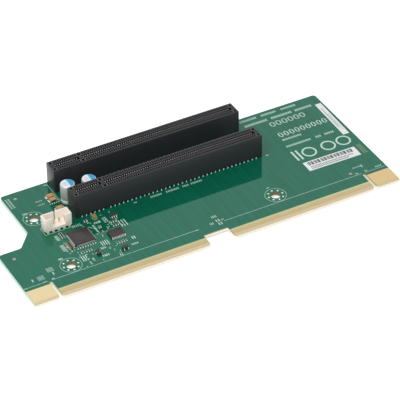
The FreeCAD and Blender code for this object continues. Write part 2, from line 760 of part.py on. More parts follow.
small_sizes = ("Sizes.small_chip_width", "Sizes.small_chip_height", "Sizes.small_chip_reach")
three_leads = "(-Sizes.small_lead_pitch - Sizes.small_lead_width / 2)"
one_lead = "(-Sizes.small_lead_width / 2)"
small_chips = [
    ("regulator", "Sizes.regulator_across", "Sizes.regulator_along", "0", "3", "3"),
    ("transistor", "Sizes.transistor_across", "Sizes.transistor_along", "0", "2", "1"),
    ("diode", "Sizes.diode_across", "Sizes.diode_along", "Sizes.diode_turn", "2", "1"),
]
for chip_name, chip_across, chip_along, chip_turn, near_count, far_count in small_chips:
    keep(moulded_body(f"{chip_name}_chip", chip_across, chip_along, "Sizes.small_chip_length",
                      *small_sizes[:2], chip_turn), f"{chip_name}_chip")
    small_leads = new_body(f"{chip_name}_leads")
    place(small_leads, chip_across, chip_along, BOARD_TOP, chip_turn)
    near_pitch = "Sizes.small_lead_pitch" if near_count == "3" else "2 * Sizes.small_lead_pitch"
    leads_of(small_leads, f"{chip_name}_near", three_leads, "-", small_sizes,
             "Sizes.small_lead_width", near_pitch, near_count)
    far_start = three_leads if far_count == "3" else one_lead
    leads_of(small_leads, f"{chip_name}_far", far_start, "", small_sizes,
             "Sizes.small_lead_width", "Sizes.small_lead_pitch", far_count)
    keep(small_leads, f"{chip_name}_leads")


# Two-ended chips: ceramic capacitors of four sizes and chip resistors, in rows and columns

def chip_rows(name, sizes_of_chip, rows):
    """Equal chips in rows. A row is its first centre, the way its chips point, and how it repeats:
    the axis it runs along, its pitch and its count. A row along Y runs towards the card edge."""
    length, width, height = sizes_of_chip
    body = new_body(name)
    place(body, up=BOARD_TOP)
    for i, (across, along, points, axis, pitch, count) in enumerate(rows):
        run, breadth = (length, width) if points == "X_Axis" else (width, length)
        plan = rectangle(f"({across} - {run} / 2)", f"({along} - {breadth} / 2)", run, breadth)
        first = pad(body, outline(body, f"{name}_{i}", "XY_Plane", plan), height)
        if count:
            doc.recompute()
            pattern(body, first, axis, pitch, count, backwards=axis == "Y_Axis")
    keep(body, name)


CERAMIC = ("Sizes.ceramic_length", "Sizes.ceramic_width", "Sizes.ceramic_height")
CHIP = ("Sizes.chip_length", "Sizes.chip_width", "Sizes.chip_height")
FILTER = ("Sizes.filter_length", "Sizes.filter_width", "Sizes.filter_height")
SMALL = ("Sizes.small_length", "Sizes.small_width", "Sizes.small_height")
BULK = ("Sizes.bulk_length", "Sizes.bulk_width", "Sizes.bulk_height")
CERAMIC_CENTRE = "(Sizes.ceramic_left + Sizes.ceramic_length / 2)"

chip_rows("ceramic_capacitors", CERAMIC, [
    (CERAMIC_CENTRE, f"Sizes.ceramic_{station}_along", "X_Axis", "X_Axis", "", "")
    for station in ("rear", "middle", "front")])
chip_rows("chip_resistors", CHIP, [
    ("Sizes.near_row_across", "Sizes.first_row_along", "Y_Axis",
     "X_Axis", "Sizes.near_row_pitch", "Sizes.first_row_count"),
    ("Sizes.near_row_across", "Sizes.second_row_along", "Y_Axis",
     "X_Axis", "Sizes.near_row_pitch", "Sizes.second_row_count"),
    ("Sizes.side_column_across", "Sizes.side_column_along", "X_Axis",
     "Y_Axis", "Sizes.side_column_pitch", "Sizes.side_column_count"),
    ("Sizes.driver_row_across", "Sizes.driver_row_along", "Y_Axis",
     "X_Axis", "Sizes.driver_row_pitch", "Sizes.driver_row_count")])
chip_rows("filter_capacitors", FILTER, [
    ("Sizes.side_column_across", "Sizes.filter_column_along", "X_Axis",
     "Y_Axis", "Sizes.filter_column_pitch", "Sizes.filter_column_count")])
chip_rows("small_capacitors", SMALL, [
    ("Sizes.middle_row_across", "Sizes.middle_row_along", "Y_Axis",
     "X_Axis", "Sizes.middle_row_pitch", "Sizes.middle_row_count"),
    ("Sizes.regulator_row_across", "Sizes.regulator_row_along", "Y_Axis",
     "X_Axis", "Sizes.regulator_row_pitch", "Sizes.regulator_row_count"),
    ("Sizes.inner_row_across", "Sizes.inner_row_along", "Y_Axis",
     "X_Axis", "Sizes.inner_row_pitch", "Sizes.inner_row_count"),
    ("Sizes.outer_small_across", "Sizes.outer_small_along", "Y_Axis", "X_Axis", "", "")])
chip_rows("bulk_capacitor", BULK, [
    ("Sizes.bulk_across", "Sizes.bulk_along", "Y_Axis", "X_Axis", "", "")])


# Labels: a barcode label and a narrow strip label, thin sheets stuck to the board

def label_sheet(name, across, along, length, width, turn):
    """A thin sheet stuck flat to the board, centred on its place and turned about its centre."""
    sheet_body = new_body(name)
    place(sheet_body, across, along, BOARD_TOP, turn)
    plan = rectangle(f"(-{length} / 2)", f"(-{width} / 2)", length, width)
    pad(sheet_body, outline(sheet_body, f"{name}_plan", "XY_Plane", plan), "Sizes.label_thickness")
    keep(sheet_body, name)


label_sheet("barcode_label", "Sizes.label_across", "Sizes.label_along",
            "Sizes.label_length", "Sizes.label_width", "Sizes.label_turn")
label_sheet("strip_label", "Sizes.strip_across", "Sizes.strip_along",
            "Sizes.strip_width", "Sizes.label_length", "Sizes.strip_turn")


# Check every object, then write each sub-part to its own file

doc.recompute()
failed = [item.Name for item in doc.Objects if {"Invalid", "Error"} & set(item.State)]
if failed:
    raise RuntimeError(f"These objects failed to build: {failed}")

os.makedirs("parts", exist_ok=True)
for name, item in nodes:
    if item.Shape.isNull() or not item.Shape.isValid():
        raise RuntimeError(f"The shape of {name} is missing or not valid")
    item.Shape.exportStep(f"parts/{name}.step")
    print(name, len(item.Shape.Solids), "solids", round(item.Shape.Volume, 3), "mm3")
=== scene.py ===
# %% [markdown]
# # A riser card: two card sockets on a green circuit board
# The frame holds every solid of the card at its real size and place, but plain. This lesson dresses it.
# The board and its flat copper only get finishes. The sockets, header, capacitors and chips are modelled
# again in finer detail and take the place of the plain solids, and the white print is laid on top.

# %% Load the frame
import math

import bpy
from mathutils import Matrix, Vector


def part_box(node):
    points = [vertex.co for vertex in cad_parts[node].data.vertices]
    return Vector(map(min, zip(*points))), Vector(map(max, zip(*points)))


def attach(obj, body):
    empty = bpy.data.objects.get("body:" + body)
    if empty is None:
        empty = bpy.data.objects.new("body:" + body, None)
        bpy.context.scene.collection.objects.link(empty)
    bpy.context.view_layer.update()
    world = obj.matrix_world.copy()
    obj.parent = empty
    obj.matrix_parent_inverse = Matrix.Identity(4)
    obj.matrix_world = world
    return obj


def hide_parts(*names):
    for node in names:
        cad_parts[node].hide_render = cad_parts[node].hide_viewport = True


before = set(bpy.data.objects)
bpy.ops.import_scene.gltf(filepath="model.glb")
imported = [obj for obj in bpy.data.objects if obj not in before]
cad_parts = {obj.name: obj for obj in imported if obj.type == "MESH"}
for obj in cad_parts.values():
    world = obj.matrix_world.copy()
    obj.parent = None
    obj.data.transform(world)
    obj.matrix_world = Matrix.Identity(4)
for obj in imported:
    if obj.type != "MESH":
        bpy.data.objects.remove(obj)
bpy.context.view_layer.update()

bpy.ops.object.select_all(action="DESELECT")
print("frame nodes:", len(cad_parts))

# %% [markdown]
# Lengths below are in millimetres, as a drawing would give them, and MM turns them into metres. The
# heights of the board's faces and the corners of the sockets could be typed in. They are read from the
# frame instead, so that the new pieces seat exactly where the plain ones were.

# %% Places read from the frame
MM = 0.001


def corners_in_mm(node):
    """Lowest and highest corner of a node of the frame, in millimetres."""
    low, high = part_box(node)
    return Vector(low) / MM, Vector(high) / MM


board_low, board_high = corners_in_mm("circuit_board")
BOARD_TOP = board_high.z
BOARD_BOTTOM = board_low.z
SOCKETS = {"front": corners_in_mm("front_socket_housing"), "rear": corners_in_mm("rear_socket_housing")}
print("board top at", round(BOARD_TOP, 3), "mm")

# %% [markdown]
# The camera stands where the photographer's did. It was worked out from the sockets' known length
# and spacing: a long lens, from the front left, looking down at about 37 degrees. A turn given by two
# directions, right and up, is easier to fit to a photograph than three angles.

# %% Camera
CAMERA_PLACE = Vector((-379.70, -729.85, 628.04)) * MM
CAMERA_RIGHT = Vector((0.87891, -0.47686, -0.01104))
CAMERA_UP = Vector((0.2973, 0.5296, 0.7945))
LENS = 220.5

bpy.ops.object.camera_add(location=CAMERA_PLACE)
camera = bpy.context.object
right = CAMERA_RIGHT.normalized()
up = (CAMERA_UP - right * CAMERA_UP.dot(right)).normalized()
back = right.cross(up)
turn = Matrix((right, up, back)).transposed().to_4x4()
camera.matrix_world = Matrix.Translation(CAMERA_PLACE) @ turn
camera.data.lens = LENS
camera.data.sensor_width = 36
camera.data.clip_start = 0.05
camera.data.clip_end = 10
bpy.context.scene.camera = camera
print("camera looks along", [round(v, 3) for v in -back])

# %% [markdown]
# A white studio: the world is white to the camera and to anything glossy, and dimmer as a lamp, so
# that the board's lacquer mirrors white while colours stay as written. Several lamps could do this too,
# but each would leave its own bright patch on the lacquer. One large soft lamp gives form.

# %% Studio light
AMBIENT = 0.55
KEY_POWER = 7.0
KEY_SIZE = 0.7
KEY_PLACE = (-0.45, -0.35, 0.9)

scene = bpy.context.scene
scene.view_settings.view_transform = "Standard"
world = bpy.data.worlds.new("studio")
scene.world = world
world.use_nodes = True
sky = world.node_tree.nodes
sky_links = world.node_tree.links
background = sky["Background"]
background.inputs["Color"].default_value = (1, 1, 1, 1)
paths = sky.new("ShaderNodeLightPath")
seen = sky.new("ShaderNodeMath")
seen.operation = "MAXIMUM"
sky_links.new(paths.outputs["Is Camera Ray"], seen.inputs[0])
sky_links.new(paths.outputs["Is Glossy Ray"], seen.inputs[1])
level = sky.new("ShaderNodeMapRange")
level.inputs["To Min"].default_value = AMBIENT
level.inputs["To Max"].default_value = 1.0
sky_links.new(seen.outputs[0], level.inputs["Value"])
sky_links.new(level.outputs["Result"], background.inputs["Strength"])

bpy.ops.object.light_add(type="AREA", location=KEY_PLACE)
key = bpy.context.object
key.data.shape = "DISK"
key.data.size = KEY_SIZE
key.data.energy = KEY_POWER
key.rotation_euler = (-Vector(KEY_PLACE)).to_track_quat("-Z", "Y").to_euler()
print("key lamp", KEY_POWER, "W")

# %% [markdown]
# The floor is white paper. Plain white would turn grey wherever the lamp falls off, so the paper glows
# a little of its own and meets the white world without a line. It still takes a faint shadow.

# %% Floor
FLOOR_SIZE = 6
FLOOR_GLOW = 0.55


def floor_finish():
    """White paper that keeps a faint shadow of the card."""
    paper = bpy.data.materials.new("studio_floor")
    paper.use_nodes = True
    shader = paper.node_tree.nodes["Principled BSDF"]
    shader.inputs["Base Color"].default_value = (0.7, 0.7, 0.7, 1)
    shader.inputs["Roughness"].default_value = 0.9
    shader.inputs["Specular IOR Level"].default_value = 0.0
    shader.inputs["Emission Color"].default_value = (1, 1, 1, 1)
    shader.inputs["Emission Strength"].default_value = FLOOR_GLOW
    return paper


bpy.ops.mesh.primitive_plane_add(size=FLOOR_SIZE, location=(0, 0, 0))
floor = bpy.context.object
floor.name = "studio_floor"
floor.data.materials.append(floor_finish())
print("floor laid,", FLOOR_SIZE, "m wide")

# %% [markdown]
# Small helpers for modelling: a block between two corners, a round bar, a strip folded from sheet,
# a row of copies, softened edges, a cut and a join. Each does with operators and modifiers what a hand
# would do in the window, and applies them at once, so that every piece ends as a plain mesh.

# %% Modelling helpers
def pick(*pieces):
    """Select only these pieces and make the first one active."""
    bpy.ops.object.select_all(action="DESELECT")
    for piece in pieces:
        piece.select_set(True)
    bpy.context.view_layer.objects.active = pieces[0]


def settle(piece, name):
    """Name a new piece and put its place and size into its mesh."""
    pick(piece)
    bpy.ops.object.transform_apply(location=True, rotation=True, scale=True)
    piece.name = name
    piece.data.name = name
    return piece


def block(name, low, high):
    """A block between its low and high corners."""
    low, high = Vector(low), Vector(high)
    bpy.ops.mesh.primitive_cube_add(size=1, location=(low + high) / 2 * MM)
    piece = bpy.context.object
    piece.scale = (high - low) * MM
    return settle(piece, name)


def bar(name, foot, radius, height, sides=24, top_radius=None):
    """An upright round bar or cone on its foot point."""
    centre = (Vector(foot) + Vector((0, 0, height / 2))) * MM
    top = radius if top_radius is None else top_radius
    bpy.ops.mesh.primitive_cone_add(vertices=sides, radius1=radius * MM, radius2=top * MM,
                                    depth=height * MM, location=centre)
    return settle(bpy.context.object, name)


def run_modifiers(piece):
    """Apply all modifiers of a piece in order."""
    pick(piece)
    for modifier in list(piece.modifiers):
        bpy.ops.object.modifier_apply(modifier=modifier.name)
    return piece


def repeat(piece, count, step):
    """A row of copies of one piece, each a step on from the last."""
    row = piece.modifiers.new("row", "ARRAY")
    row.count = count
    row.use_relative_offset = False
    row.use_constant_offset = True
    row.constant_offset_displace = Vector(step) * MM
    return run_modifiers(piece)


def soften(piece, width, segments=2, angle=35):
    """Round every edge sharper than the angle."""
    bevel = piece.modifiers.new("soft_edges", "BEVEL")
    bevel.width = width * MM
    bevel.segments = segments
    bevel.limit_method = "ANGLE"
    bevel.angle_limit = math.radians(angle)
    run_modifiers(piece)
    bpy.ops.object.shade_smooth_by_angle(angle=math.radians(angle))
    return piece


def cut(piece, cutter):
    """Take one piece's volume out of another."""
    knife = piece.modifiers.new("cut", "BOOLEAN")
    knife.operation = "DIFFERENCE"
    knife.solver = "EXACT"
    knife.object = cutter
    run_modifiers(piece)
    bpy.data.objects.remove(cutter)
    return piece


def join(name, pieces):
    """Make several pieces one object."""
    pick(*pieces)
    if len(pieces) > 1:
        bpy.ops.object.join()
    piece = bpy.context.object
    piece.name = name
    piece.data.name = name
    return piece


def copy_of(piece, name, shift):
    """A copy with its own mesh, moved by a shift."""
    pick(piece)
    bpy.ops.object.duplicate()
    twin = bpy.context.object
    twin.location = Vector(shift) * MM
    return settle(twin, name)


def folded_strip(name, path, width, thickness, across):
    """A strip of sheet metal folded along a path of (y, z) points, centred at one x."""
    folds = len(path) - 1
    bpy.ops.mesh.primitive_grid_add(x_subdivisions=folds, y_subdivisions=1, size=folds)
    piece = bpy.context.object
    for vertex in piece.data.vertices:
        along, up_by = path[round(vertex.co.x + folds / 2)]
        side = math.copysign(width / 2, vertex.co.y)
        vertex.co = Vector((across + side, along, up_by)) * MM
    wall = piece.modifiers.new("thickness", "SOLIDIFY")
    wall.thickness = thickness * MM
    wall.offset = 0
    run_modifiers(piece)
    bpy.ops.object.mode_set(mode="EDIT")
    bpy.ops.mesh.select_all(action="SELECT")
    bpy.ops.mesh.normals_make_consistent(inside=False)
    bpy.ops.object.mode_set(mode="OBJECT")
    return settle(piece, name)


def turn_about(piece, centre, degrees):
    """Turn a piece about an upright axis through a place in plan."""
    spin = Matrix.Rotation(math.radians(degrees), 4, "Z")
    middle = Vector((centre[0], centre[1], 0)) * MM
    for vertex in piece.data.vertices:
        vertex.co = spin @ (vertex.co - middle) + middle
    return piece


print("modelling helpers ready")

# %% [markdown]
# No real surface has one even colour. Pictures of plastic or metal could be wrapped round each piece,
# but noise on Object coordinates needs no unwrapping and has no seams. One shared group gives the
# grain: a mask for uneven colour and a bumped normal. Each finish then sets its own colours and gloss.

# %% Finish helpers
def srgb(code):
    """A web colour as linear red, green and blue."""
    parts = [int(code[i:i + 2], 16) / 255 for i in (1, 3, 5)]
    return [p / 12.92 if p <= 0.04045 else ((p + 0.055) / 1.055) ** 2.4 for p in parts]


def grain_group():
    """A node group with a noise mask and a bumped normal at a given scale."""
    group = bpy.data.node_groups.new("fine_grain", "ShaderNodeTree")
    group.interface.new_socket("Scale", in_out="INPUT", socket_type="NodeSocketFloat")
    group.interface.new_socket("Depth", in_out="INPUT", socket_type="NodeSocketFloat")
    group.interface.new_socket("Mask", in_out="OUTPUT", socket_type="NodeSocketFloat")
    group.interface.new_socket("Normal", in_out="OUTPUT", socket_type="NodeSocketVector")
    nodes, links = group.nodes, group.links
    given = nodes.new("NodeGroupInput")
    result = nodes.new("NodeGroupOutput")
    place = nodes.new("ShaderNodeTexCoord")
    noise = nodes.new("ShaderNodeTexNoise")
    noise.inputs["Detail"].default_value = 4
    bump = nodes.new("ShaderNodeBump")
    bump.inputs["Distance"].default_value = 0.0001
    links.new(place.outputs["Object"], noise.inputs["Vector"])
    links.new(given.outputs["Scale"], noise.inputs["Scale"])
    links.new(given.outputs["Depth"], bump.inputs["Strength"])
    links.new(noise.outputs["Fac"], bump.inputs["Height"])
    links.new(noise.outputs["Fac"], result.inputs["Mask"])
    links.new(bump.outputs["Normal"], result.inputs["Normal"])
    return group


GRAIN = grain_group()
print("grain group", GRAIN.name)


def finish(name, light, dark, roughness, metallic=0.0, scale=900, depth=0.1, specular=0.5):
    """A finish whose colour wanders between two tones with a fine grain."""
    made = bpy.data.materials.new(name)
    made.use_nodes = True
    nodes, links = made.node_tree.nodes, made.node_tree.links
    shader = nodes["Principled BSDF"]
    shader.inputs["Roughness"].default_value = roughness
    shader.inputs["Metallic"].default_value = metallic
    shader.inputs["Specular IOR Level"].default_value = specular
    grain = nodes.new("ShaderNodeGroup")
    grain.node_tree = GRAIN
    grain.name = "grain"
    grain.inputs["Scale"].default_value = scale
    grain.inputs["Depth"].default_value = depth
    tones = nodes.new("ShaderNodeMix")
    tones.name = "tones"
    tones.data_type = "RGBA"
    tones.inputs[6].default_value = (*srgb(dark), 1)
    tones.inputs[7].default_value = (*srgb(light), 1)
    links.new(grain.outputs["Mask"], tones.inputs[0])
    links.new(tones.outputs[2], shader.inputs["Base Color"])
    links.new(grain.outputs["Normal"], shader.inputs["Normal"])
    return made


# %% [markdown]
# Some finishes change from place to place: the board is bare beside its fingers, and a contact is
# painted near black below its tip, as painted shade deep in the socket's mouth. Separate meshes could
# carry the second colour, but the border then has to be cut. A test on the shaded spot's coordinates
# gives a sharp mask without touching the mesh.

# %% Masks in a finish
def arithmetic(made, operation, first, second=None):
    """The outcome of one sum or test on a value in a finish."""
    node = made.node_tree.nodes.new("ShaderNodeMath")
    node.operation = operation
    made.node_tree.links.new(first, node.inputs[0])
    if isinstance(second, float):
        node.inputs[1].default_value = second
    elif second:
        made.node_tree.links.new(second, node.inputs[1])
    return node.outputs[0]


def choose(made, mask, off, on):
    """One colour where the mask is nought and another where it is one."""
    node = made.node_tree.nodes.new("ShaderNodeMix")
    node.data_type = "RGBA"
    made.node_tree.links.new(mask, node.inputs[0])
    for socket, colour in ((node.inputs[6], off), (node.inputs[7], on)):
        if isinstance(colour, str):
            socket.default_value = (*srgb(colour), 1)
        else:
            made.node_tree.links.new(colour, socket)
    return node.outputs[2]


def spot_in(made):
    """The three Object coordinates of the shaded spot, in a finish."""
    spot = made.node_tree.nodes.new("ShaderNodeTexCoord")
    split = made.node_tree.nodes.new("ShaderNodeSeparateXYZ")
    made.node_tree.links.new(spot.outputs["Object"], split.inputs["Vector"])
    return split


def fade(made, axis, start, stop, code):
    """Let a finish turn into another colour between two places along X, Y or Z."""
    nodes, links = made.node_tree.nodes, made.node_tree.links
    amount = nodes.new("ShaderNodeMapRange")
    amount.inputs["From Min"].default_value = start * MM
    amount.inputs["From Max"].default_value = stop * MM
    blend = nodes.new("ShaderNodeMix")
    blend.data_type = "RGBA"
    blend.inputs[7].default_value = (*srgb(code), 1)
    links.new(spot_in(made).outputs[axis], amount.inputs["Value"])
    links.new(amount.outputs["Result"], blend.inputs[0])
    links.new(nodes["tones"].outputs[2], blend.inputs[6])
    links.new(blend.outputs[2], nodes["Principled BSDF"].inputs["Base Color"])
    return made


print("mask helpers ready")

# %% [markdown]
# The finishes. Each has a light and a dark tone, set by comparing the same spots in photograph and
# render. Gold and tin are only partly metallic, because full metal would only mirror the white room.

# %% Finishes
GOLD = finish("gold_plating", "#dcc596", "#c6ae7a", 0.38, metallic=0.7, scale=2500, depth=0.15)
fade(GOLD, "Y", -32.6, -31.2, "#d6d2a8")
PAD_GOLD = finish("power_pad_gold", "#ecdcae", "#dcca9a", 0.36, metallic=0.6, scale=1500)
fade(PAD_GOLD, "X", -60, 60, "#dcc18c")
SOCKET_PLASTIC = finish("socket_plastic", "#303133", "#27282a", 0.32, scale=1800, depth=0.12, specular=0.36)
CONTACT = finish("contact_plating", "#dcd6d0", "#cec8c2", 0.4, scale=2000)
# Painted shade: each contact is near black below its tip, for the shade deep in the socket's mouth.
fade(CONTACT, "Z", BOARD_TOP + 10.35, BOARD_TOP + 10.25, "#060505")
TINNED = finish("tinned_metal", "#f6f6f4", "#dededc", 0.3, metallic=0.6, scale=2000)
DULL_SOLDER = finish("dull_solder", "#e4e8e6", "#c4c8c6", 0.45, metallic=0.1, scale=2500)
CAP_METAL = finish("dull_end_caps", "#ab9d82", "#8f8067", 0.45, metallic=0.4, scale=2500)
ALUMINIUM = finish("can_aluminium", "#d2d4d3", "#bfc3c2", 0.5, metallic=0.65, scale=700)
CAN_TOP = finish("can_top", "#e8ecf2", "#dce1e8", 0.35, metallic=0.3, scale=900)
BLUE_INK = finish("blue_ink", "#3f9fce", "#308cbd", 0.45, scale=1500)
# Painted highlight: the same blue ink as the mark, painted paler where light falls on it.
BLUE_INK_HIGHLIGHT = finish("blue_ink_painted_highlight", "#8fcbe2", "#7dbdd8", 0.45, scale=1500)
RUBBER = finish("seal_rubber", "#2a2624", "#1c1918", 0.7, scale=1500)
HEADER_PLASTIC = finish("header_plastic", "#f7eee2", "#e9dfd1", 0.45, scale=900)
HEADER_PIN = finish("header_pin", "#e2d7c3", "#d0c4ae", 0.35, metallic=0.3, scale=2000)
CHIP_PLASTIC = finish("chip_plastic", "#3b3535", "#2f2a2a", 0.5, scale=3000, depth=0.25)
CERAMIC = finish("ceramic_body", "#c89a68", "#b4875a", 0.45, scale=2500)
# Painted shade: the body turns dark brown below 0.9 mm above the board, so the sides of the taller chips look
# shaded and lower chips are dark brown all over.
fade(CERAMIC, "Z", BOARD_TOP + 0.96, BOARD_TOP + 0.9, "#4e3a2a")
BULK_CERAMIC = finish("bulk_ceramic", "#9c8a5c", "#85744a", 0.45, scale=2500)
RESISTOR = finish("resistor_glaze", "#26272a", "#1b1c1f", 0.3, scale=2500)
LABEL = finish("label_paper", "#e8ecec", "#dfe3e4", 0.55, scale=1200)
PRINT = finish("white_print", "#c6e2d4", "#b4d2c4", 0.6, scale=3000)
HOLE_SOLDER = finish("hole_solder", "#e2ece6", "#cddad2", 0.4, metallic=0.3, scale=2500)
TEST_COPPER = finish("test_copper", "#b3a59a", "#9a8d83", 0.45, metallic=0.3, scale=2500)
COUPON = finish("coupon_copper", "#b9b98f", "#a3a57d", 0.5, metallic=0.2, scale=2500)
GREY_INK = finish("grey_ink", "#a3adb6", "#929ca6", 0.6, scale=1500)
INK = finish("label_ink", "#2b2b2b", "#1f1f1f", 0.6, scale=1500)
FAINT_INK = finish("faint_ink", "#5c5655", "#4e4949", 0.6, scale=1500)
print("finishes made:", len(bpy.data.materials))

# %% [markdown]
# Two more helpers. The solids that stay plain get only a finish. A new piece gets its finish, rides
# on the card's one body and may hide the plain solids it replaces.

# %% Dressing and placing
def dress(node, material):
    """Give a node of the frame a finish."""
    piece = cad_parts[node]
    piece.data.materials.clear()
    piece.data.materials.append(material)


def place_piece(piece, material, slot, *nodes):
    """Give a piece its finish, fix it to the card and hide the nodes it stands for."""
    piece.data.materials.clear()
    piece.data.materials.append(material)
    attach(piece, "root")
    if nodes:
        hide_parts(*nodes)
    return piece


print("placing helpers ready")

# %% [markdown]
# The board's lacquer is deep green and very glossy: most of its pale look is the white room that it
# mirrors, and faint streaks show the copper tracks below. The tracks could be thin raised strips, but
# thousands of them would only be seen as streaks, so stretched noise stands for them. Along the card
# edge the lacquer stops, and bare laminate shows between the fingers.

# %% Board faces
LACQUER_EDGE = -30.9
LACQUER_LIP = 0.2
TAB_START = 74.4
PAD_REAR = -26.6
TRACK_SCALE = 900
TRACK_STRETCH = 0.03


def scaled(made, vector, factors):
    """A vector in a finish, with each of its coordinates scaled."""
    node = made.node_tree.nodes.new("ShaderNodeVectorMath")
    node.operation = "MULTIPLY"
    node.inputs[1].default_value = factors
    made.node_tree.links.new(vector, node.inputs[0])
    return node.outputs["Vector"]


def track_streaks(made, spot):
    """Let the two tones wander in narrow streaks that run from the card edge to the rear."""
    nodes, links = made.node_tree.nodes, made.node_tree.links
    tracks = nodes.new("ShaderNodeTexNoise")
    tracks.inputs["Scale"].default_value = TRACK_SCALE
    contrast = nodes.new("ShaderNodeMapRange")
    contrast.inputs["From Min"].default_value = 0.35
    contrast.inputs["From Max"].default_value = 0.65
    links.new(scaled(made, spot, (1.0, TRACK_STRETCH, 1.0)), tracks.inputs["Vector"])
    links.new(tracks.outputs["Fac"], contrast.inputs["Value"])
    links.new(contrast.outputs["Result"], nodes["tones"].inputs[0])


def face_colours(made, place):
    """Lacquer, then bare laminate along the card edge, and a golden tone round the power pads."""
    along = place.outputs["Y"]
    lip = arithmetic(made, "LESS_THAN", along, (LACQUER_EDGE + LACQUER_LIP) * MM)
    colour = choose(made, lip, made.node_tree.nodes["tones"].outputs[2], "#4c6b3a")
    bare = arithmetic(made, "LESS_THAN", along, LACQUER_EDGE * MM)
    colour = choose(made, bare, colour, "#aba582")
    across = arithmetic(made, "ABSOLUTE", place.outputs["X"])
    on_tab = arithmetic(made, "GREATER_THAN", across, TAB_START * MM)
    by_pad = arithmetic(made, "LESS_THAN", along, PAD_REAR * MM)
    return choose(made, arithmetic(made, "MULTIPLY", on_tab, by_pad), colour, "#d2bf92")


print("lacquer stops at y =", LACQUER_EDGE, "mm")

# %% [markdown]
# The cut edges are bare laminate. Glass cloth shows cream below and darker under the upper copper, the
# left edge has a mint tint, and the drilled holes are brown. The bevel at the card edge is the same
# laminate, cut at a slope, and the way a face points tells it from the lacquer.

# %% Board edges
HOLES = [(-62.0, -19.85), (33.9, -19.85), (-62.0, 15.3)]
HOLE_REACH = 2.5
UPPER_LAYER = 0.5
LEFT_LEAN = -0.4
LEFT_LIMIT = -66.0
SIDEWAYS = 0.45
SLOPED = 0.5
LEVEL = 0.98


def near_hole(made, flattened, centre):
    """A mask that is one on the wall of one hole."""
    reach = made.node_tree.nodes.new("ShaderNodeVectorMath")
    reach.operation = "DISTANCE"
    reach.inputs[1].default_value = (centre[0] * MM, centre[1] * MM, 0)
    made.node_tree.links.new(flattened, reach.inputs[0])
    return arithmetic(made, "LESS_THAN", reach.outputs["Value"], HOLE_REACH * MM)


def edge_colours(made, spot, place, facing):
    """Cut laminate in its tones, from the outline's long sides to the holes."""
    upper = arithmetic(made, "GREATER_THAN", place.outputs["Z"], (BOARD_TOP - UPPER_LAYER) * MM)
    colour = choose(made, upper, "#f3e7d4", "#8d8a70")
    sideways = arithmetic(made, "ABSOLUTE", facing.outputs["X"])
    sideways = arithmetic(made, "GREATER_THAN", sideways, SIDEWAYS)
    slanted = arithmetic(made, "MULTIPLY", place.outputs["Y"], LEFT_LEAN)
    slanted = arithmetic(made, "ADD", slanted, place.outputs["X"])
    outer_left = arithmetic(made, "LESS_THAN", slanted, LEFT_LIMIT * MM)
    colour = choose(made, arithmetic(made, "MULTIPLY", sideways, outer_left), colour, "#bcd6c8")
    flattened = scaled(made, spot, (1.0, 1.0, 0.0))
    for centre in HOLES:
        colour = choose(made, near_hole(made, flattened, centre), colour, "#75683f")
    return colour


def board_finish():
    """Glossy lacquer on the two flat faces, and dull laminate on every other face."""
    made = finish("solder_mask", "#015e46", "#00543e", 0.05, scale=260, depth=0.02, specular=0.76)
    nodes, links = made.node_tree.nodes, made.node_tree.links
    shader = nodes["Principled BSDF"]
    shader.inputs["Specular Tint"].default_value = (0.42, 1.0, 0.8, 1)
    spot = nodes.new("ShaderNodeTexCoord")
    facing = nodes.new("ShaderNodeSeparateXYZ")
    links.new(spot.outputs["Normal"], facing.inputs["Vector"])
    place = spot_in(made)
    track_streaks(made, spot.outputs["Object"])
    faces = face_colours(made, place)
    edges = edge_colours(made, spot.outputs["Object"], place, facing)
    level_by = arithmetic(made, "ABSOLUTE", facing.outputs["Z"])
    edges = choose(made, arithmetic(made, "GREATER_THAN", level_by, SLOPED), edges, "#ceb998")
    flat = arithmetic(made, "GREATER_THAN", level_by, LEVEL)
    links.new(choose(made, flat, edges, faces), shader.inputs["Base Color"])
    gloss = nodes.new("ShaderNodeMapRange")
    gloss.inputs["To Min"].default_value = 0.7
    gloss.inputs["To Max"].default_value = 0.05
    links.new(flat, gloss.inputs["Value"])
    links.new(gloss.outputs["Result"], shader.inputs["Roughness"])
    return made


dress("circuit_board", board_finish())
for face in ("top", "bottom"):
    for side in ("left", "right"):
        dress(f"edge_fingers_{face}_{side}", GOLD)
        dress(f"power_pad_{face}_{side}", PAD_GOLD)
print("board dressed")

# %% [markdown]
# A card socket is one long moulding. A keyed mouth runs down its middle, and each contact sits in its
# own chamber: a window open at the top and a channel open to the mouth. All this could be built up
# from walls and ribs. It is cut out of one bar instead, with rows of small blocks, as fewer sizes say
# where the hollows are than where every rib is.

# %% Socket sizes and cutters
SOCKET_LENGTH = 89.0
SOCKET_WIDTH = 7.5
SOCKET_HEIGHT = 11.25
SOFT_EDGE = 0.12
END_WALL = 1.975
CONTACT_PITCH = 1.0
SHORT_CONTACTS = 11
LONG_CONTACTS = 71
SHORT_BAY = 11.65
LONG_BAY = 71.65
KEY_WIDTH = 1.75
MOUTH_WIDTH = 1.75
WINDOW_WIDTH = 0.62
WINDOW_INNER = 1.58
WINDOW_OUTER = 3.02
CHANNEL_OVERLAP = 0.1
CHANNEL_TOP = 10.85
FLOOR_TOP = 2.85
MIDDLE = SOCKET_WIDTH / 2
KEY_CENTRE = END_WALL + SHORT_BAY + KEY_WIDTH / 2
LONG_START = END_WALL + SHORT_BAY + KEY_WIDTH
BAYS = [(END_WALL, SHORT_BAY, SHORT_CONTACTS), (LONG_START, LONG_BAY, LONG_CONTACTS)]
BEYOND = 1.0


def first_contact(start, length, count):
    """Place of a bay's first contact, with the row centred in the bay."""
    return start + (length - (count - 1) * CONTACT_PITCH) / 2


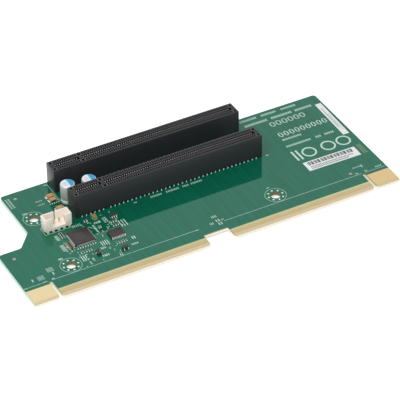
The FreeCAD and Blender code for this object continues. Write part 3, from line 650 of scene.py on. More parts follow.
def row_of_cutters(name, inner, outer, low, high):
    """Blocks at every contact of both bays and both sides, between two distances from the middle."""
    cutters = []
    for start, length, count in BAYS:
        first = first_contact(start, length, count)
        for way in (-1, 1):
            near, far = sorted((MIDDLE + way * inner, MIDDLE + way * outer))
            low_corner = (first - WINDOW_WIDTH / 2, near, low)
            high_corner = (first + WINDOW_WIDTH / 2, far, high)
            cutter = block(name, low_corner, high_corner)
            cutters.append(repeat(cutter, count, (CONTACT_PITCH, 0, 0)))
    return join(name, cutters)


print("contacts a side:", SHORT_CONTACTS + LONG_CONTACTS)

# %% [markdown]
# The moulding rests on a foot at each end, and two pegs go through the board. Square holes beside the
# key and near the ends keep such thick places from sinking as they cool. The two sockets are the same
# product, so one moulding is made, and each socket is its copy.

# %% Socket moulding
FOOT_LENGTH = 2.4
FOOT_GAP = 0.7
PEG_RADIUS = 1.1
PEG_INSET = 1.4
HOLE_BOTTOM = 4.0
KEY_HOLE_HALF = 0.62
END_HOLE_HALF = 0.55
END_HOLE_INSET = 1.15


def moulding_holes():
    """Pairs of square holes beside the key and near both ends."""
    holes = []
    places = [(KEY_CENTRE, KEY_HOLE_HALF), (END_HOLE_INSET, END_HOLE_HALF),
              (SOCKET_LENGTH - END_HOLE_INSET, END_HOLE_HALF)]
    for across, half in places:
        for way in (-1, 1):
            centre = MIDDLE + way * (WINDOW_INNER + WINDOW_OUTER) / 2
            holes.append(block("hole", (across - half, centre - half, HOLE_BOTTOM),
                               (across + half, centre + half, SOCKET_HEIGHT + BEYOND)))
    return join("holes", holes)


def socket_housing():
    """One moulding at the origin, with its mouths, chambers, feet, holes and pegs."""
    body = block("socket", (0, 0, 0), (SOCKET_LENGTH, SOCKET_WIDTH, SOCKET_HEIGHT))
    soften(body, SOFT_EDGE, 2)
    top = SOCKET_HEIGHT + BEYOND
    mouths = [block("mouth", (start, MIDDLE - MOUTH_WIDTH / 2, FLOOR_TOP),
                    (start + length, MIDDLE + MOUTH_WIDTH / 2, top))
              for start, length, count in BAYS]
    cut(body, join("mouths", mouths))
    cut(body, row_of_cutters("windows", WINDOW_INNER, WINDOW_OUTER, FLOOR_TOP, top))
    cut(body, row_of_cutters("channels", MOUTH_WIDTH / 2 - CHANNEL_OVERLAP, WINDOW_INNER + CHANNEL_OVERLAP,
                             FLOOR_TOP, CHANNEL_TOP))
    cut(body, block("underside", (FOOT_LENGTH, -BEYOND, -BEYOND),
                    (SOCKET_LENGTH - FOOT_LENGTH, SOCKET_WIDTH + BEYOND, FOOT_GAP)))
    cut(body, moulding_holes())
    pegs = [bar("peg", (across, MIDDLE, -BOARD_TOP), PEG_RADIUS, BOARD_TOP + FOOT_GAP + 0.05, 24)
            for across in (KEY_CENTRE, SOCKET_LENGTH - PEG_INSET)]
    return join("socket", [body] + pegs)


housing = socket_housing()
print("moulding faces", len(housing.data.polygons))

# %% [markdown]
# Light hardly reaches into the chambers. Black plastic alone would still mirror the white room there,
# so its colour falls to near black and its gloss goes out below the top face, as painted shade. On the
# top face the ribs between the windows get a painted highlight, paler than the rim round the mouth.

# %% Socket plastic
EDGE_ALLOWANCE = 0.05
TOP_SKIN = 0.02


def darken_chambers(made):
    """Painted shade: near-black walls without gloss inside both mouldings; the top face in two tones, with a
    painted highlight on the ribs.
    """
    links = made.node_tree.links
    shader = made.node_tree.nodes["Principled BSDF"]
    place = spot_in(made)
    front_low, front_high = SOCKETS["front"]
    rear_low, rear_high = SOCKETS["rear"]
    between = (front_low.y + rear_high.y) / 2
    offset = (rear_low.y - front_low.y) / 2
    from_between = arithmetic(made, "SUBTRACT", place.outputs["Y"], between * MM)
    from_between = arithmetic(made, "ABSOLUTE", from_between)
    from_mouth = arithmetic(made, "ABSOLUTE", arithmetic(made, "SUBTRACT", from_between, offset * MM))
    inside = arithmetic(made, "LESS_THAN", from_mouth, (WINDOW_OUTER + EDGE_ALLOWANCE) * MM)
    by_windows = arithmetic(made, "GREATER_THAN", from_mouth, (WINDOW_INNER - EDGE_ALLOWANCE) * MM)
    past_left = arithmetic(made, "GREATER_THAN", place.outputs["X"], (front_low.x + EDGE_ALLOWANCE) * MM)
    before_right = arithmetic(made, "LESS_THAN", place.outputs["X"], (front_high.x - EDGE_ALLOWANCE) * MM)
    below_top = arithmetic(made, "LESS_THAN", place.outputs["Z"], (front_high.z - TOP_SKIN) * MM)
    chamber = arithmetic(made, "MULTIPLY", inside, below_top)
    chamber = arithmetic(made, "MULTIPLY", chamber, past_left)
    chamber = arithmetic(made, "MULTIPLY", chamber, before_right)
    # Painted light on the top face: a painted highlight on the ribs between the windows, and a darker rim
    # round the mouth.
    top = choose(made, arithmetic(made, "MULTIPLY", inside, by_windows), "#1d1d1f", "#434347")
    plastic = choose(made, below_top, top, made.node_tree.nodes["tones"].outputs[2])
    # Painted shade: near black inside the chambers, with the gloss turned down there too.
    links.new(choose(made, chamber, plastic, "#060607"), shader.inputs["Base Color"])
    gloss = made.node_tree.nodes.new("ShaderNodeMapRange")
    gloss.inputs["To Min"].default_value = 0.36
    gloss.inputs["To Max"].default_value = 0.02
    links.new(chamber, gloss.inputs["Value"])
    links.new(gloss.outputs["Result"], shader.inputs["Specular IOR Level"])


darken_chambers(SOCKET_PLASTIC)
for name, (low, high) in SOCKETS.items():
    shell = copy_of(housing, f"{name}_socket_shell", (low.x, low.y, BOARD_TOP))
    place_piece(shell, SOCKET_PLASTIC, "socket_plastic", f"{name}_socket_housing")
bpy.data.objects.remove(housing)
print("sockets placed:", len(SOCKETS))

# %% [markdown]
# Each contact is a spring folded from a thin strip: a shank stands in the window, and a crown bows
# into the mouth and turns back at the tip. A grid as long as the path has folds is laid along it, gets
# its thickness from a modifier, and is repeated along each bay.

# %% Socket contacts
CONTACT_WIDTH = 0.3
CONTACT_THICKNESS = 0.16
CONTACT_PATH = [(1.95, 0.0), (1.95, 2.9), (2.0, 4.2), (1.55, 6.6), (0.85, 8.6), (0.62, 9.4), (0.68, 9.9),
                (0.98, 10.75)]


def contact_row(name, way):
    """The springs of one side. Their path is pairs of distance from the middle and height."""
    rows = []
    for start, length, count in BAYS:
        path = [(MIDDLE + way * out, height) for out, height in CONTACT_PATH]
        first = first_contact(start, length, count)
        spring = folded_strip(name, path, CONTACT_WIDTH, CONTACT_THICKNESS, first)
        rows.append(repeat(spring, count, (CONTACT_PITCH, 0, 0)))
    return join(name, rows)


for side, way in (("near", -1), ("far", 1)):
    springs = contact_row("springs", way)
    for name, (low, high) in SOCKETS.items():
        twin = copy_of(springs, f"{name}_springs_{side}", (low.x, low.y, BOARD_TOP))
        place_piece(twin, CONTACT, "gold", f"{name}_socket_contacts_{side}")
    bpy.data.objects.remove(springs)
print("contacts folded")

# %% [markdown]
# Below the moulding each contact ends in a square tail, soldered into the board. Neighbours are set in
# two lines, so that the pads have room. Short cones stand for the solder: a collar above the board
# and a drop below it.

# %% Contact tails
TAIL_WIDTH = 0.36
TAIL_DEPTH = 0.3
TAIL_OUT = 3.6
TAIL_IN = 1.25
TAIL_DROP = 2.1
COLLAR_RADIUS = 0.3
COLLAR_HEIGHT = 0.3
COLLAR_TOP = 0.2
DROP_TIP = 0.16
DROP_RADIUS = 0.5
DROP_FOOT = TAIL_DROP - 0.05
BOARD_THICKNESS = BOARD_TOP - BOARD_BOTTOM


def tail_row(name, way):
    """Tails between moulding and board, in two staggered lines, with solder above and below."""
    rows = []
    for start, length, count in BAYS:
        first = first_contact(start, length, count)
        for odd, out in ((0, TAIL_OUT), (1, TAIL_IN)):
            across = first + odd * CONTACT_PITCH
            along = MIDDLE + way * out
            tail = block(name, (across - TAIL_WIDTH / 2, along - TAIL_DEPTH / 2, -TAIL_DROP),
                         (across + TAIL_WIDTH / 2, along + TAIL_DEPTH / 2, FOOT_GAP + 0.1))
            collar = bar("collar", (across, along, 0), COLLAR_RADIUS, COLLAR_HEIGHT, 10, COLLAR_TOP)
            drop = bar("drop", (across, along, -DROP_FOOT), DROP_TIP, DROP_FOOT - BOARD_THICKNESS, 10,
                       DROP_RADIUS)
            copies = (count - odd + 1) // 2
            rows.append(repeat(join(name, [tail, collar, drop]), copies, (2 * CONTACT_PITCH, 0, 0)))
    return join(name, rows)


for side, way in (("near", -1), ("far", 1)):
    tails = tail_row("tails", way)
    for name, (low, high) in SOCKETS.items():
        twin = copy_of(tails, f"{name}_tails_{side}", (low.x, low.y, BOARD_TOP))
        place_piece(twin, DULL_SOLDER, "tinned")
    bpy.data.objects.remove(tails)
print("tails soldered")

# %% [markdown]
# Each capacitor is a drawn aluminium can, rolled in near its foot to hold the rubber seal. A half
# outline could be spun round, but a drum that is cut at the heights of its rolls, with each ring then
# drawn in or out to its radius, stays closed at both ends. A blue segment on the flat top marks one
# lead, and the leads end in beads of solder under the board.

# %% Capacitors
CAN_RINGS = [(0.0, 2.9), (0.15, 3.12), (1.15, 3.15), (1.5, 2.9), (1.7, 2.82), (1.95, 2.92), (2.25, 3.15),
             (8.62, 3.15), (8.92, 3.05), (9.1, 2.8)]
CAN_TOP_RIM = 2.75
SEAL_RADIUS = 2.6
LEAD_HALF_PITCH = 1.25
LEAD_TAIL = 0.7
LEAD_RADIUS = 0.3
BEAD = 0.55
BEAD_TIP = 0.32
BEAD_RADIUS = 0.95
CAN_INK = 0.012
SIDES = 64
BLUE_START = 0.65
# Where the painted highlight on the blue mark begins, to the right of the can's centre.
HIGHLIGHT_START = 0.25


def turned(name, centre, foot, rings, sides=SIDES):
    """A round piece whose rings are pairs of height and radius, from the foot up."""
    height = rings[-1][0]
    piece = bar(name, (centre.x, centre.y, foot), 1.0, height, sides)
    bpy.ops.object.mode_set(mode="EDIT")
    for level_up, radius in rings[1:-1]:
        bpy.ops.mesh.select_all(action="SELECT")
        bpy.ops.mesh.bisect(plane_co=(0, 0, (foot + level_up) * MM), plane_no=(0, 0, 1))
    bpy.ops.object.mode_set(mode="OBJECT")
    axis = Vector((centre.x, centre.y)) * MM
    for vertex in piece.data.vertices:
        level_up = vertex.co.z / MM - foot
        radius = min(rings, key=lambda ring: abs(ring[0] - level_up))[1]
        spoke = (vertex.co.xy - axis).normalized() * radius * MM
        vertex.co.x, vertex.co.y = axis + spoke
    pick(piece)
    bpy.ops.object.shade_smooth_by_angle(angle=math.radians(40))
    return piece


def segment(name, centre, height, start, stop):
    """The part of a thin round print between two distances to the right of its centre."""
    mark = bar(name, (centre.x, centre.y, height), CAN_TOP_RIM, CAN_INK, SIDES)
    for near, far in ((-4, start), (stop, 4)):
        low = (centre.x + near, centre.y - 4, height - 1)
        high = (centre.x + far, centre.y + 4, height + 1)
        cut(mark, block("rest", low, high))
    return mark


def capacitor(name):
    """One capacitor: the can with its printed top, the seal and the two leads."""
    low, high = corners_in_mm(f"{name}_can")
    centre = (low + high) / 2
    place_piece(turned(f"{name}_drum", centre, low.z, CAN_RINGS), ALUMINIUM, "can", f"{name}_can")
    top = bar(f"{name}_top", (centre.x, centre.y, high.z - 0.01), CAN_TOP_RIM, 0.02, SIDES)
    place_piece(top, CAN_TOP, "can")
    print_height = high.z + 0.004
    place_piece(segment(f"{name}_mark", centre, print_height, BLUE_START, 3), BLUE_INK, "can")
    # A paler band beside the blue mark: a painted highlight on the same ink.
    place_piece(segment(f"{name}_mark_highlight", centre, print_height, HIGHLIGHT_START, BLUE_START), BLUE_INK_HIGHLIGHT, "can")
    seal = bar(f"{name}_rubber", (centre.x, centre.y, BOARD_TOP), SEAL_RADIUS, low.z - BOARD_TOP, 48)
    place_piece(seal, RUBBER, "seal", f"{name}_seal")
    leads = []
    wire_length = BOARD_THICKNESS + LEAD_TAIL
    for way in (-1, 1):
        across = centre.x + way * LEAD_HALF_PITCH
        leads.append(bar("wire", (across, centre.y, BOARD_BOTTOM - LEAD_TAIL), LEAD_RADIUS, wire_length, 16))
        leads.append(bar("bead", (across, centre.y, BOARD_BOTTOM - BEAD), BEAD_TIP, BEAD, 16, BEAD_RADIUS))
    place_piece(join(f"{name}_wires", leads), TINNED, "tinned", f"{name}_leads")


capacitor("left_capacitor")
capacitor("right_capacitor")
print("capacitors turned")

# %% [markdown]
# The white header is a moulded tray with a low front, a slit in its back wall and feet that let flux
# drain. Like the socket, it is cut from a block in the way the mould shapes it, and its edges are
# softened last, so that the cuts get soft edges too. The pins stay as the frame has them.

# %% Header
HEADER_CUTS = {
    "tray": ((0.7, 0.7, 2.4), (11.3, 4.05, 8.0)),
    "low_front": ((3.1, -1.0, 2.4), (9.0, 1.2, 8.0)),
    "slit": ((5.7, 3.9, 2.4), (6.3, 6.0, 8.0)),
    "left_gap": ((-1.0, -1.0, -1.0), (0.65, 1.8, 0.9)),
    "right_gap": ((11.35, -1.0, -1.0), (13.0, 1.8, 0.9)),
}
FIRST_NOTCH = ((1.625, -1.0, -1.0), (2.925, 3.0, 1.0))
PIN_PITCH = 2.5
PINS = 4


def header():
    """The tray. Each cut is two corners, measured from the header's own low corner."""
    low, high = corners_in_mm("header_housing")
    body = block("header_shell", low, high)
    for name, (near, far) in HEADER_CUTS.items():
        cut(body, block(name, low + Vector(near), low + Vector(far)))
    near, far = FIRST_NOTCH
    notch = block("notch", low + Vector(near), low + Vector(far))
    cut(body, repeat(notch, PINS, (PIN_PITCH, 0, 0)))
    return soften(body, SOFT_EDGE, 2)


place_piece(header(), HEADER_PLASTIC, "header_plastic", "header_housing")
dress("header_pins", HEADER_PIN)
print("header cut")

# %% [markdown]
# The larger chips are moulded black packages with softened edges and a shallow round mark by the first
# lead. A block at the corners of each plain solid, softened and marked, gives all five.

# %% Chip packages
PACKAGES = {"controller_chip": 0.06, "driver_chip": 0.12, "regulator_chip": 0.1, "transistor_chip": 0.1,
            "diode_chip": 0.1}
MARK_INSET = 0.9
MARK_DEPTH = 0.03


def package(node, softness):
    """A moulded package with a round mark in its corner."""
    low, high = corners_in_mm(node)
    body = block(f"{node}_package", low, high)
    soften(body, softness, 2)
    radius = min(0.35, (high.x - low.x) * 0.06)
    cut(body, bar("mark", (low.x + MARK_INSET, low.y + MARK_INSET, high.z - MARK_DEPTH), radius, 1, 20))
    return place_piece(body, CHIP_PLASTIC, "chip_plastic", node)


for node, softness in PACKAGES.items():
    package(node, softness)
print("packages:", len(PACKAGES))

# %% [markdown]
# Leads leave the package at half its height, turn down and lie flat on the board. They could be cut
# from blocks, but a folded strip has the even thickness of real sheet. The controller has none: its
# pads are flat, so a row of small blocks is made once and turned to each side in turn.

# %% Chip leads
LEAD_THICKNESS = 0.15
KNEE = 0.3
ANKLE = 0.55
PAD_PITCH = 0.5
PADS_A_SIDE = 16
FIRST_PAD = -3.9
PAD_WIDTH = 0.3
PAD_OUT = 0.5
PAD_UNDER = 0.1
PAD_HEIGHT = 0.2


def lead_frame(node, chip, reach, width, rows, turn=0):
    """The folded leads of a package. A row is its side, its pitch and its count, and is centred."""
    low, high = corners_in_mm(chip)
    centre = (low + high) / 2
    half = min(high.x - low.x, high.y - low.y) / 2
    waist = (high.z + BOARD_TOP + LEAD_THICKNESS) / 2
    foot = BOARD_TOP + LEAD_THICKNESS / 2
    bends = [(half - 0.1, waist), (half + reach * KNEE, waist),
             (half + reach * ANKLE, foot), (half + reach - 0.03, foot)]
    strips = []
    for way, pitch, count in rows:
        path = [(centre.y + way * out, height) for out, height in bends]
        first = centre.x - (count - 1) / 2 * pitch
        strip = folded_strip(node, path, width, LEAD_THICKNESS, first)
        strips.append(repeat(strip, count, (pitch, 0, 0)))
    leads = turn_about(join(f"{node}_folded", strips), centre, turn)
    place_piece(leads, TINNED, "tinned", node)


THREE_LEADS = [(-1, 1.9, 2), (1, 1.9, 1)]
lead_frame("driver_leads", "driver_chip", 1.0, 0.27, [(-1, 0.65, 10), (1, 0.65, 10)])
lead_frame("regulator_leads", "regulator_chip", 0.6, 0.4, [(-1, 0.95, 3), (1, 0.95, 3)])
lead_frame("transistor_leads", "transistor_chip", 0.6, 0.4, THREE_LEADS)
lead_frame("diode_leads", "diode_chip", 0.6, 0.4, THREE_LEADS, 90)

pads = []
chip_low, chip_high = corners_in_mm("controller_chip")
chip_centre = (chip_low + chip_high) / 2
for quarter in range(4):
    left = chip_centre.x + FIRST_PAD
    pad = block("pad", (left, chip_low.y - PAD_OUT, BOARD_TOP),
                (left + PAD_WIDTH, chip_low.y + PAD_UNDER, BOARD_TOP + PAD_HEIGHT))
    pads.append(turn_about(repeat(pad, PADS_A_SIDE, (PAD_PITCH, 0, 0)), chip_centre, 90 * quarter))
place_piece(join("controller_pads", pads), TINNED, "tinned")
print("leads folded,", 4 * PADS_A_SIDE, "pads laid")

# %% [markdown]
# Resistors and ceramic capacitors are all one shape: a small brick with a metal cap at each end and
# a fillet of solder where the cap meets the board. One of each size is modelled, then copied in rows.
# A row is its first centre, whether it points along X, its step and its count.

# %% Two-ended chips
ALONE = (0, 0, 0)
CAP_COVER = 0.6
BODY_INSET = Vector((0.0, 0.03, 0.02))
FILLET_REACH = 0.6
FILLET_RISE = 0.25
FILLET_HALF = 0.42


def two_ended_chip(centre, length, width, height, cap, points_along_x):
    """The body, the end caps and the solder fillets of one small chip."""
    half = Vector((length, width, 0)) / 2
    inset = BODY_INSET + Vector((cap * CAP_COVER, 0, 0))
    body = block("body", centre - half + inset, centre + half + Vector((0, 0, height)) - inset)
    ends, fillets = [], []
    for way in (-1, 1):
        inner = way * (length / 2 - cap)
        outer = way * length / 2
        left, stop = sorted((inner, outer))
        ends.append(block("end", centre + Vector((left, -width / 2, 0)),
                          centre + Vector((stop, width / 2, height))))
        start, reach = sorted((outer - way * 0.05, outer + way * height * FILLET_REACH))
        fillets.append(block("fillet", centre + Vector((start, -width * FILLET_HALF, 0)),
                             centre + Vector((reach, width * FILLET_HALF, height * FILLET_RISE))))
    pieces = [body, soften(join("ends", ends), 0.06, 1), soften(join("fillets", fillets), 0.08, 2)]
    if not points_along_x:
        for piece in pieces:
            turn_about(piece, centre, 90)
    return pieces


def chip_group(name, material, cap_material, slot, nodes, size, rows, solder=TINNED):
    """All the chips of one kind: rows of first centre, direction, step and count."""
    bodies, caps, fillets = [], [], []
    for across, along, points_along_x, step, count in rows:
        centre = Vector((across, along, BOARD_TOP))
        for pile, piece in zip((bodies, caps, fillets), two_ended_chip(centre, *size, points_along_x)):
            pile.append(repeat(piece, count, step))
    place_piece(join(f"{name}_bodies", bodies), material, slot, *nodes)
    place_piece(join(f"{name}_ends", caps), cap_material, "tinned")
    place_piece(join(f"{name}_fillets", fillets), solder, "tinned")


chip_group("ceramic", CERAMIC, CAP_METAL, "ceramic", ["ceramic_capacitors"], (3.2, 2.3, 1.0, 0.5), [
    (-49.6, 25.55, True, ALONE, 1), (-49.6, 22.85, True, ALONE, 1), (-49.6, 16.2, True, ALONE, 1)])
chip_group("resistor", RESISTOR, TINNED, "chip_black", ["chip_resistors"], (1.0, 0.5, 0.4, 0.25), [
    (-54.9, -11.55, False, (1.15, 0, 0), 8), (-54.9, -14.9, False, (1.15, 0, 0), 5),
    (-56.9, 0.95, True, (0, -1.15, 0), 4), (-39.3, -16.3, False, (1.1, 0, 0), 5)])
chip_group("filter", CERAMIC, CAP_METAL, "ceramic", ["filter_capacitors"], (1.6, 0.8, 0.8, 0.35), [
    (-56.9, -6.9, True, (0, -1.15, 0), 4)])
chip_group("small", CERAMIC, TINNED, "ceramic", ["small_capacitors"], (1.0, 0.5, 0.5, 0.25), [
    (-44.6, 3.35, False, (1.15, 0, 0), 2), (-35.25, -2.6, False, (1.15, 0, 0), 3),
    (-41.05, -3.1, False, (0.85, 0, 0), 2), (-42.2, -8.6, False, ALONE, 1)])
chip_group("bulk", BULK_CERAMIC, BULK_CERAMIC, "ceramic", ["bulk_capacitor"], (2.6, 2.0, 1.0, 0.3), [
    (-39.7, 3.9, False, ALONE, 1)], solder=CAP_METAL)
chip_group("spare", CERAMIC, TINNED, "ceramic", [], (1.0, 0.5, 0.45, 0.25), [
    (-37.9, -5.1, False, ALONE, 1), (-35.3, -5.1, False, (1.1, 0, 0), 3),
    (-36.2, 0.65, False, ALONE, 1), (-57.8, -11.85, False, ALONE, 1)])
print("chips placed")

# %% [markdown]
# The white print is a film of ink. It could be a mask in the lacquer's finish, but real pieces keep it
# crisp from near and carry over into other programs. All of it is made of lines, rings, boxes and short
# strokes.

# %% Print helpers
INK_HEIGHT = 0.02


def ink_bar(low, high, lift=0.0):
    """A flat bar of ink between two corners in plan."""
    return block("ink", (*low, BOARD_TOP + lift), (*high, BOARD_TOP + lift + INK_HEIGHT))


def ink_line(left, stop, along, width=0.16):
    """A thin line of ink along the card."""
    return ink_bar((left, along - width / 2), (stop, along + width / 2))


def strokes(left, stop, along, height, stroke=0.4, gap=0.4, lift=0.0):
    """A row of upright strokes of print."""
    count = max(1, int((stop - left + gap) / (stroke + gap)))
    first = ink_bar((left, along - height / 2), (left + stroke, along + height / 2), lift)
    return repeat(first, count, (stroke + gap, 0, 0))


def rungs(left, stop, front, rear, rung=0.35, gap=0.4, lift=0.0):
    """A column of short bars between two sides, from front to rear."""
    count = max(1, int((rear - front + gap) / (rung + gap)))
    return repeat(ink_bar((left, front), (stop, front + rung), lift), count, (0, rung + gap, 0))


def ring(centre, outer, inner):
    """A flat ring of print."""
    disc = bar("ring", (*centre, BOARD_TOP), outer, INK_HEIGHT, 64)
    return cut(disc, bar("inner", (*centre, BOARD_TOP - 1), inner, 2, 64))


def boxes(left, stop, along, width, height, gap, line):
    """A row of plain outlined boxes."""
    right, front, rear = left + width, along - height / 2, along + height / 2
    frame_box = join("box", [
        ink_bar((left, front), (left + line, rear)), ink_bar((right - line, front), (right, rear)),
        ink_bar((left, front), (right, front + line)), ink_bar((left, rear - line), (right, rear))])
    return repeat(frame_box, int((stop - left + gap) / (width + gap)), (width + gap, 0, 0))


def scatter(left, stop, front, rear, count):
    """Short strokes, upright and level by turns, spread unevenly over an area between small chips."""
    made = []
    for i in range(count):
        across = left + (stop - left) * ((i * i * 0.137 + i * 0.31) % 1)
        along = front + (rear - front) * ((i * i * 0.091 + i * 0.57) % 1)
        wide, deep = (0.22, 0.9) if i % 2 else (0.8, 0.22)
        made.append(ink_bar((across, along), (across + wide, along + deep)))
    return made


print("print helpers ready")

# %% [markdown]
# The line along the card edge, the circles round the screw holes, and the large rings and bars at the
# right. Round each screw hole, eight solder dots let a screw's head touch the ground copper.

# %% Lines, rings and dots
LINE_ALONG = -24.7
LINE_PARTS = [(-85.0, -74.6), (-73.0, -5.6), (6.4, 73.4), (75.1, 85.4)]
HOLE_RING = (4.65, 4.5)
LARGE_RING = (3.4, 2.6)
LARGE_RINGS = [61.9, 71.4, 79.0]
LARGE_LINE = -0.2
LARGE_BARS = [54.5, 56.6]
DOTS_A_HOLE = 8
DOT_CIRCLE = 3.25
TEST_SPOTS = [(-63.1, 31.4), (-80.6, -5.15), (69.15, -22.5)]

rings = [ring(hole, *HOLE_RING) for hole in HOLES]
rings += [ring((across, LARGE_LINE), *LARGE_RING) for across in LARGE_RINGS]
lines = [ink_line(left, stop, LINE_ALONG) for left, stop in LINE_PARTS]
lines += [ink_bar((-62.7, 2.5), (-62.55, 8.2)), ink_line(-62.7, -49.7, 2.7)]
lines += [ink_bar((across, -3.6), (across + 0.9, 3.5)) for across in LARGE_BARS]
place_piece(join("white_lines", rings + lines), PRINT, "label")

dots = []
for across, along in HOLES:
    for i in range(DOTS_A_HOLE):
        angle = 2 * math.pi * i / DOTS_A_HOLE
        spot = (across + DOT_CIRCLE * math.cos(angle), along + DOT_CIRCLE * math.sin(angle), BOARD_TOP)
        dots.append(bar("dot", spot, 0.45, 0.06, 16, 0.35))
place_piece(join("hole_dots", dots), HOLE_SOLDER, "tinned")
test_dots = [bar("test_dot", (*spot, BOARD_TOP), 0.75, 0.05, 20) for spot in TEST_SPOTS]
place_piece(join("test_dots", test_dots), TEST_COPPER, "tinned")
print("dots:", len(dots) + len(test_dots))

# %% [markdown]
# The rest of the print is plain rows of strokes, and two rows of outlined boxes. The places were
# measured on the board's plane. A line of strokes is its centre line, height, stroke and gap,
# then the two ends of each run. The other rows follow their helper's own arguments.

# %% White strokes
STROKE_LINES = [
    ((4.6, 1.1, 0.32, 0.46), [(-12.7, -7.0), (-5.3, 1.1), (2.6, 5.6), (6.6, 11.7)]),
    ((33.2, 1.3, 0.5, 0.45), [(46.2, 55.0), (57.0, 65.0), (67.0, 75.0)]),
    ((29.4, 1.5, 0.5, 0.45), [(46.7, 58.0), (60.0, 70.0), (72.0, 81.0)]),
    ((7.7, 1.3, 0.5, 0.45), [(55.2, 67.5), (69.9, 72.6), (74.4, 79.0)]),
    ((12.7, 1.2, 0.5, 0.45), [(56.2, 65.8)])]
BOX_ROWS = [(57.0, 74.4, 25.1, 2.3, 3.2, 0.7, 0.45), (56.4, 80.6, 16.6, 2.0, 3.4, 0.75, 0.5)]
SMALL_ROWS = [
    (72.0, 76.0, -19.65, 0.8, 0.3, 0.5), (81.0, 84.6, -23.4, 0.8), (71.0, 72.5, -23.7, 0.7),
    (75.4, 76.9, -23.7, 0.7), (-56.5, -53.3, 25.1, 0.7, 0.3, 0.5), (-56.5, -53.3, 22.5, 0.7, 0.3, 0.5),
    (-52.0, -47.3, 20.9, 0.7, 0.4, 0.6), (-65.0, -62.8, 20.0, 0.9), (-48.5, -46.5, 34.0, 0.8),
    (-41.5, -38.0, 0.2, 1.2), (-45.0, -41.3, -13.5, 3.0, 0.35, 0.6), (-32.2, -29.4, -5.2, 4.4, 0.4, 0.8),
    (-56.4, -53.7, -18.6, 3.6, 0.4, 0.6), (-48.0, -45.0, -21.0, 1.2), (-46.5, -44.0, -16.3, 1.2),
    (-32.2, -30.0, -16.1, 1.8, 0.45, 0.5), (-34.2, -31.0, -20.0, 1.0), (-41.5, -39.7, -23.9, 0.8),
    (-50.5, -46.7, 2.4, 1.6, 0.25, 0.6), (2.8, 5.4, -20.2, 1.4, 0.25, 0.4), (0.2, 2.2, -24.0, 1.4, 0.25, 0.4)]
COLUMNS = [
    (-60.0, -58.6, -3.0, 0.5), (-60.75, -58.9, -10.5, -6.25), (-65.0, -63.2, -15.0, -13.4),
    (-43.0, -42.1, -5.5, 0.0), (-37.3, -36.7, -1.5, 2.2), (-36.1, -35.5, -1.5, 2.2),
    (-52.6, -51.9, -22.0, -19.5), (-54.6, -53.9, -23.5, -21.5), (-47.15, -46.85, 21.0, 33.5, 0.5, 0.5),
    (-67.5, -66.7, 26.0, 32.7, 0.3, 0.5), (-66.3, -65.5, 26.0, 32.7, 0.3, 0.5)]
PAIRS = [(-79.5, -21.44), (-70.07, -21.23), (76.7, -19.88), (4.19, -23.17), (4.3, -25.47)]
BLOCKS = [(-76.17, -21.48), (-70.73, -18.4)]
SPECKS = [(-84.4, -24.75), (-75.75, -24.51), (-71.85, -24.14), (-64.23, -14.61), (-63.58, 19.4),
          (40.71, 9.71), (45.06, 6.47), (-19.73, 4.58), (33.7, -13.91), (6.52, -23.43), (-6.22, -24.76)]
BUSY_AREAS = [(-47.0, -30.5, -8.0, 3.8, 46), (-60.5, -56.0, -18.0, -5.0, 14),
              (-57.0, -40.0, -24.0, -15.5, 24)]



def strokes_at(spots, half, height, stroke, gap):
    """The same short row of strokes at each of several spots."""
    return [strokes(across - half, across + half, along, height, stroke, gap) for across, along in spots]


print_rows = [strokes(left, stop, *sizes) for sizes, runs in STROKE_LINES for left, stop in runs]
print_rows += [boxes(*row) for row in BOX_ROWS]
print_rows += [strokes(*row) for row in SMALL_ROWS]
print_rows += [rungs(*column) for column in COLUMNS]
print_rows += strokes_at(PAIRS, 0.8, 1.7, 0.45, 0.7)
print_rows += strokes_at(BLOCKS, 1.5, 2.8, 0.18, 0.42)
print_rows += strokes_at(SPECKS, 0.8, 0.6, 0.4, 0.3)
for area in BUSY_AREAS:
    print_rows += scatter(*area)
place_piece(join("white_strokes", print_rows), PRINT, "label")
print("rows of print:", len(print_rows))

# %% [markdown]
# Three smaller prints in other tones: bare copper rungs by the right edge, grey marks on the tops of
# the capacitors, and faint marks on the controller, which on the real one are burnt in by a laser.

# %% Other marks
COUPON_COLUMNS = [81.9, 83.1]
CAN_CENTRES = [(-44.2, 19.1), (-34.8, 17.85)]
CAN_PRINT_LIFT = 9.53
CHIP_PRINT_LIFT = 0.85

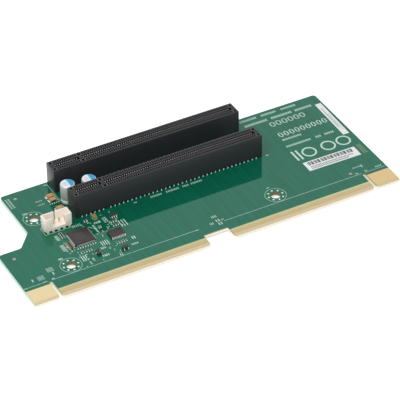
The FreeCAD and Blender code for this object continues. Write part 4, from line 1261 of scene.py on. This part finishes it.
ladders = [rungs(across, across + 0.8, -12.3, -5.6, 0.28, 0.6) for across in COUPON_COLUMNS]
place_piece(join("coupon_rungs", ladders), COUPON, "tinned")
can_marks = [strokes(across - 1.9, across - 0.3, along + row, 0.45, 0.2, 0.25, CAN_PRINT_LIFT)
            for across, along in CAN_CENTRES for row in (-0.8, 0.1, 1.0)]
place_piece(join("can_strokes", can_marks), GREY_INK, "label")
chip_marks = [strokes(-53.0, -48.6, along, 0.7, 0.4, 0.35, CHIP_PRINT_LIFT) for along in (-3.9, -5.4, -6.9)]
place_piece(join("chip_strokes", chip_marks), FAINT_INK, "label")
print("marks made")

# %% [markdown]
# Two paper labels lie on the board: a broad one with a row of unequal bars, and a narrow strip by the
# right edge. The paper is the frame's own solid. The bars are ink on its top face, turned with it.

# %% Labels
PAPER = 0.1
BAR_SPACING = 1.75


def bar_run(left, stop, front, rear, widths):
    """Bars of unequal width side by side, in a repeating run of widths."""
    made = []
    i = 0
    while left < stop:
        width = widths[i % len(widths)]
        made.append(ink_bar((left, front), (left + width, rear), PAPER))
        left += width * BAR_SPACING
        i += 1
    return made


BARCODE_CENTRE = (67.8, -9.45)
STRIP_CENTRE = (82.97, 16.05)
dress("barcode_label", LABEL)
dress("strip_label", LABEL)
BAR_WIDTHS = [0.3, 0.5, 0.25, 0.7, 0.35, 0.45, 0.3, 0.8]
BARCODE_TURN = -0.8
STRIP_TURN = -1.45

bars = bar_run(56.8, 78.8, -9.2, -6.8, BAR_WIDTHS)
bars += [strokes(57.0, stop, along, 0.7, 0.35, 0.3, PAPER) for stop, along in ((78.0, -10.4), (75.0, -11.6))]
place_piece(turn_about(join("barcode_bars", bars), BARCODE_CENTRE, BARCODE_TURN), INK, "label")
marks = [rungs(82.4, 82.9, 9.0, 25.0, 0.3, 0.35, PAPER), rungs(83.3, 83.6, 7.0, 20.0, 0.3, 0.6, PAPER)]
place_piece(turn_about(join("strip_marks", marks), STRIP_CENTRE, STRIP_TURN), INK, "label")
print("labels printed")
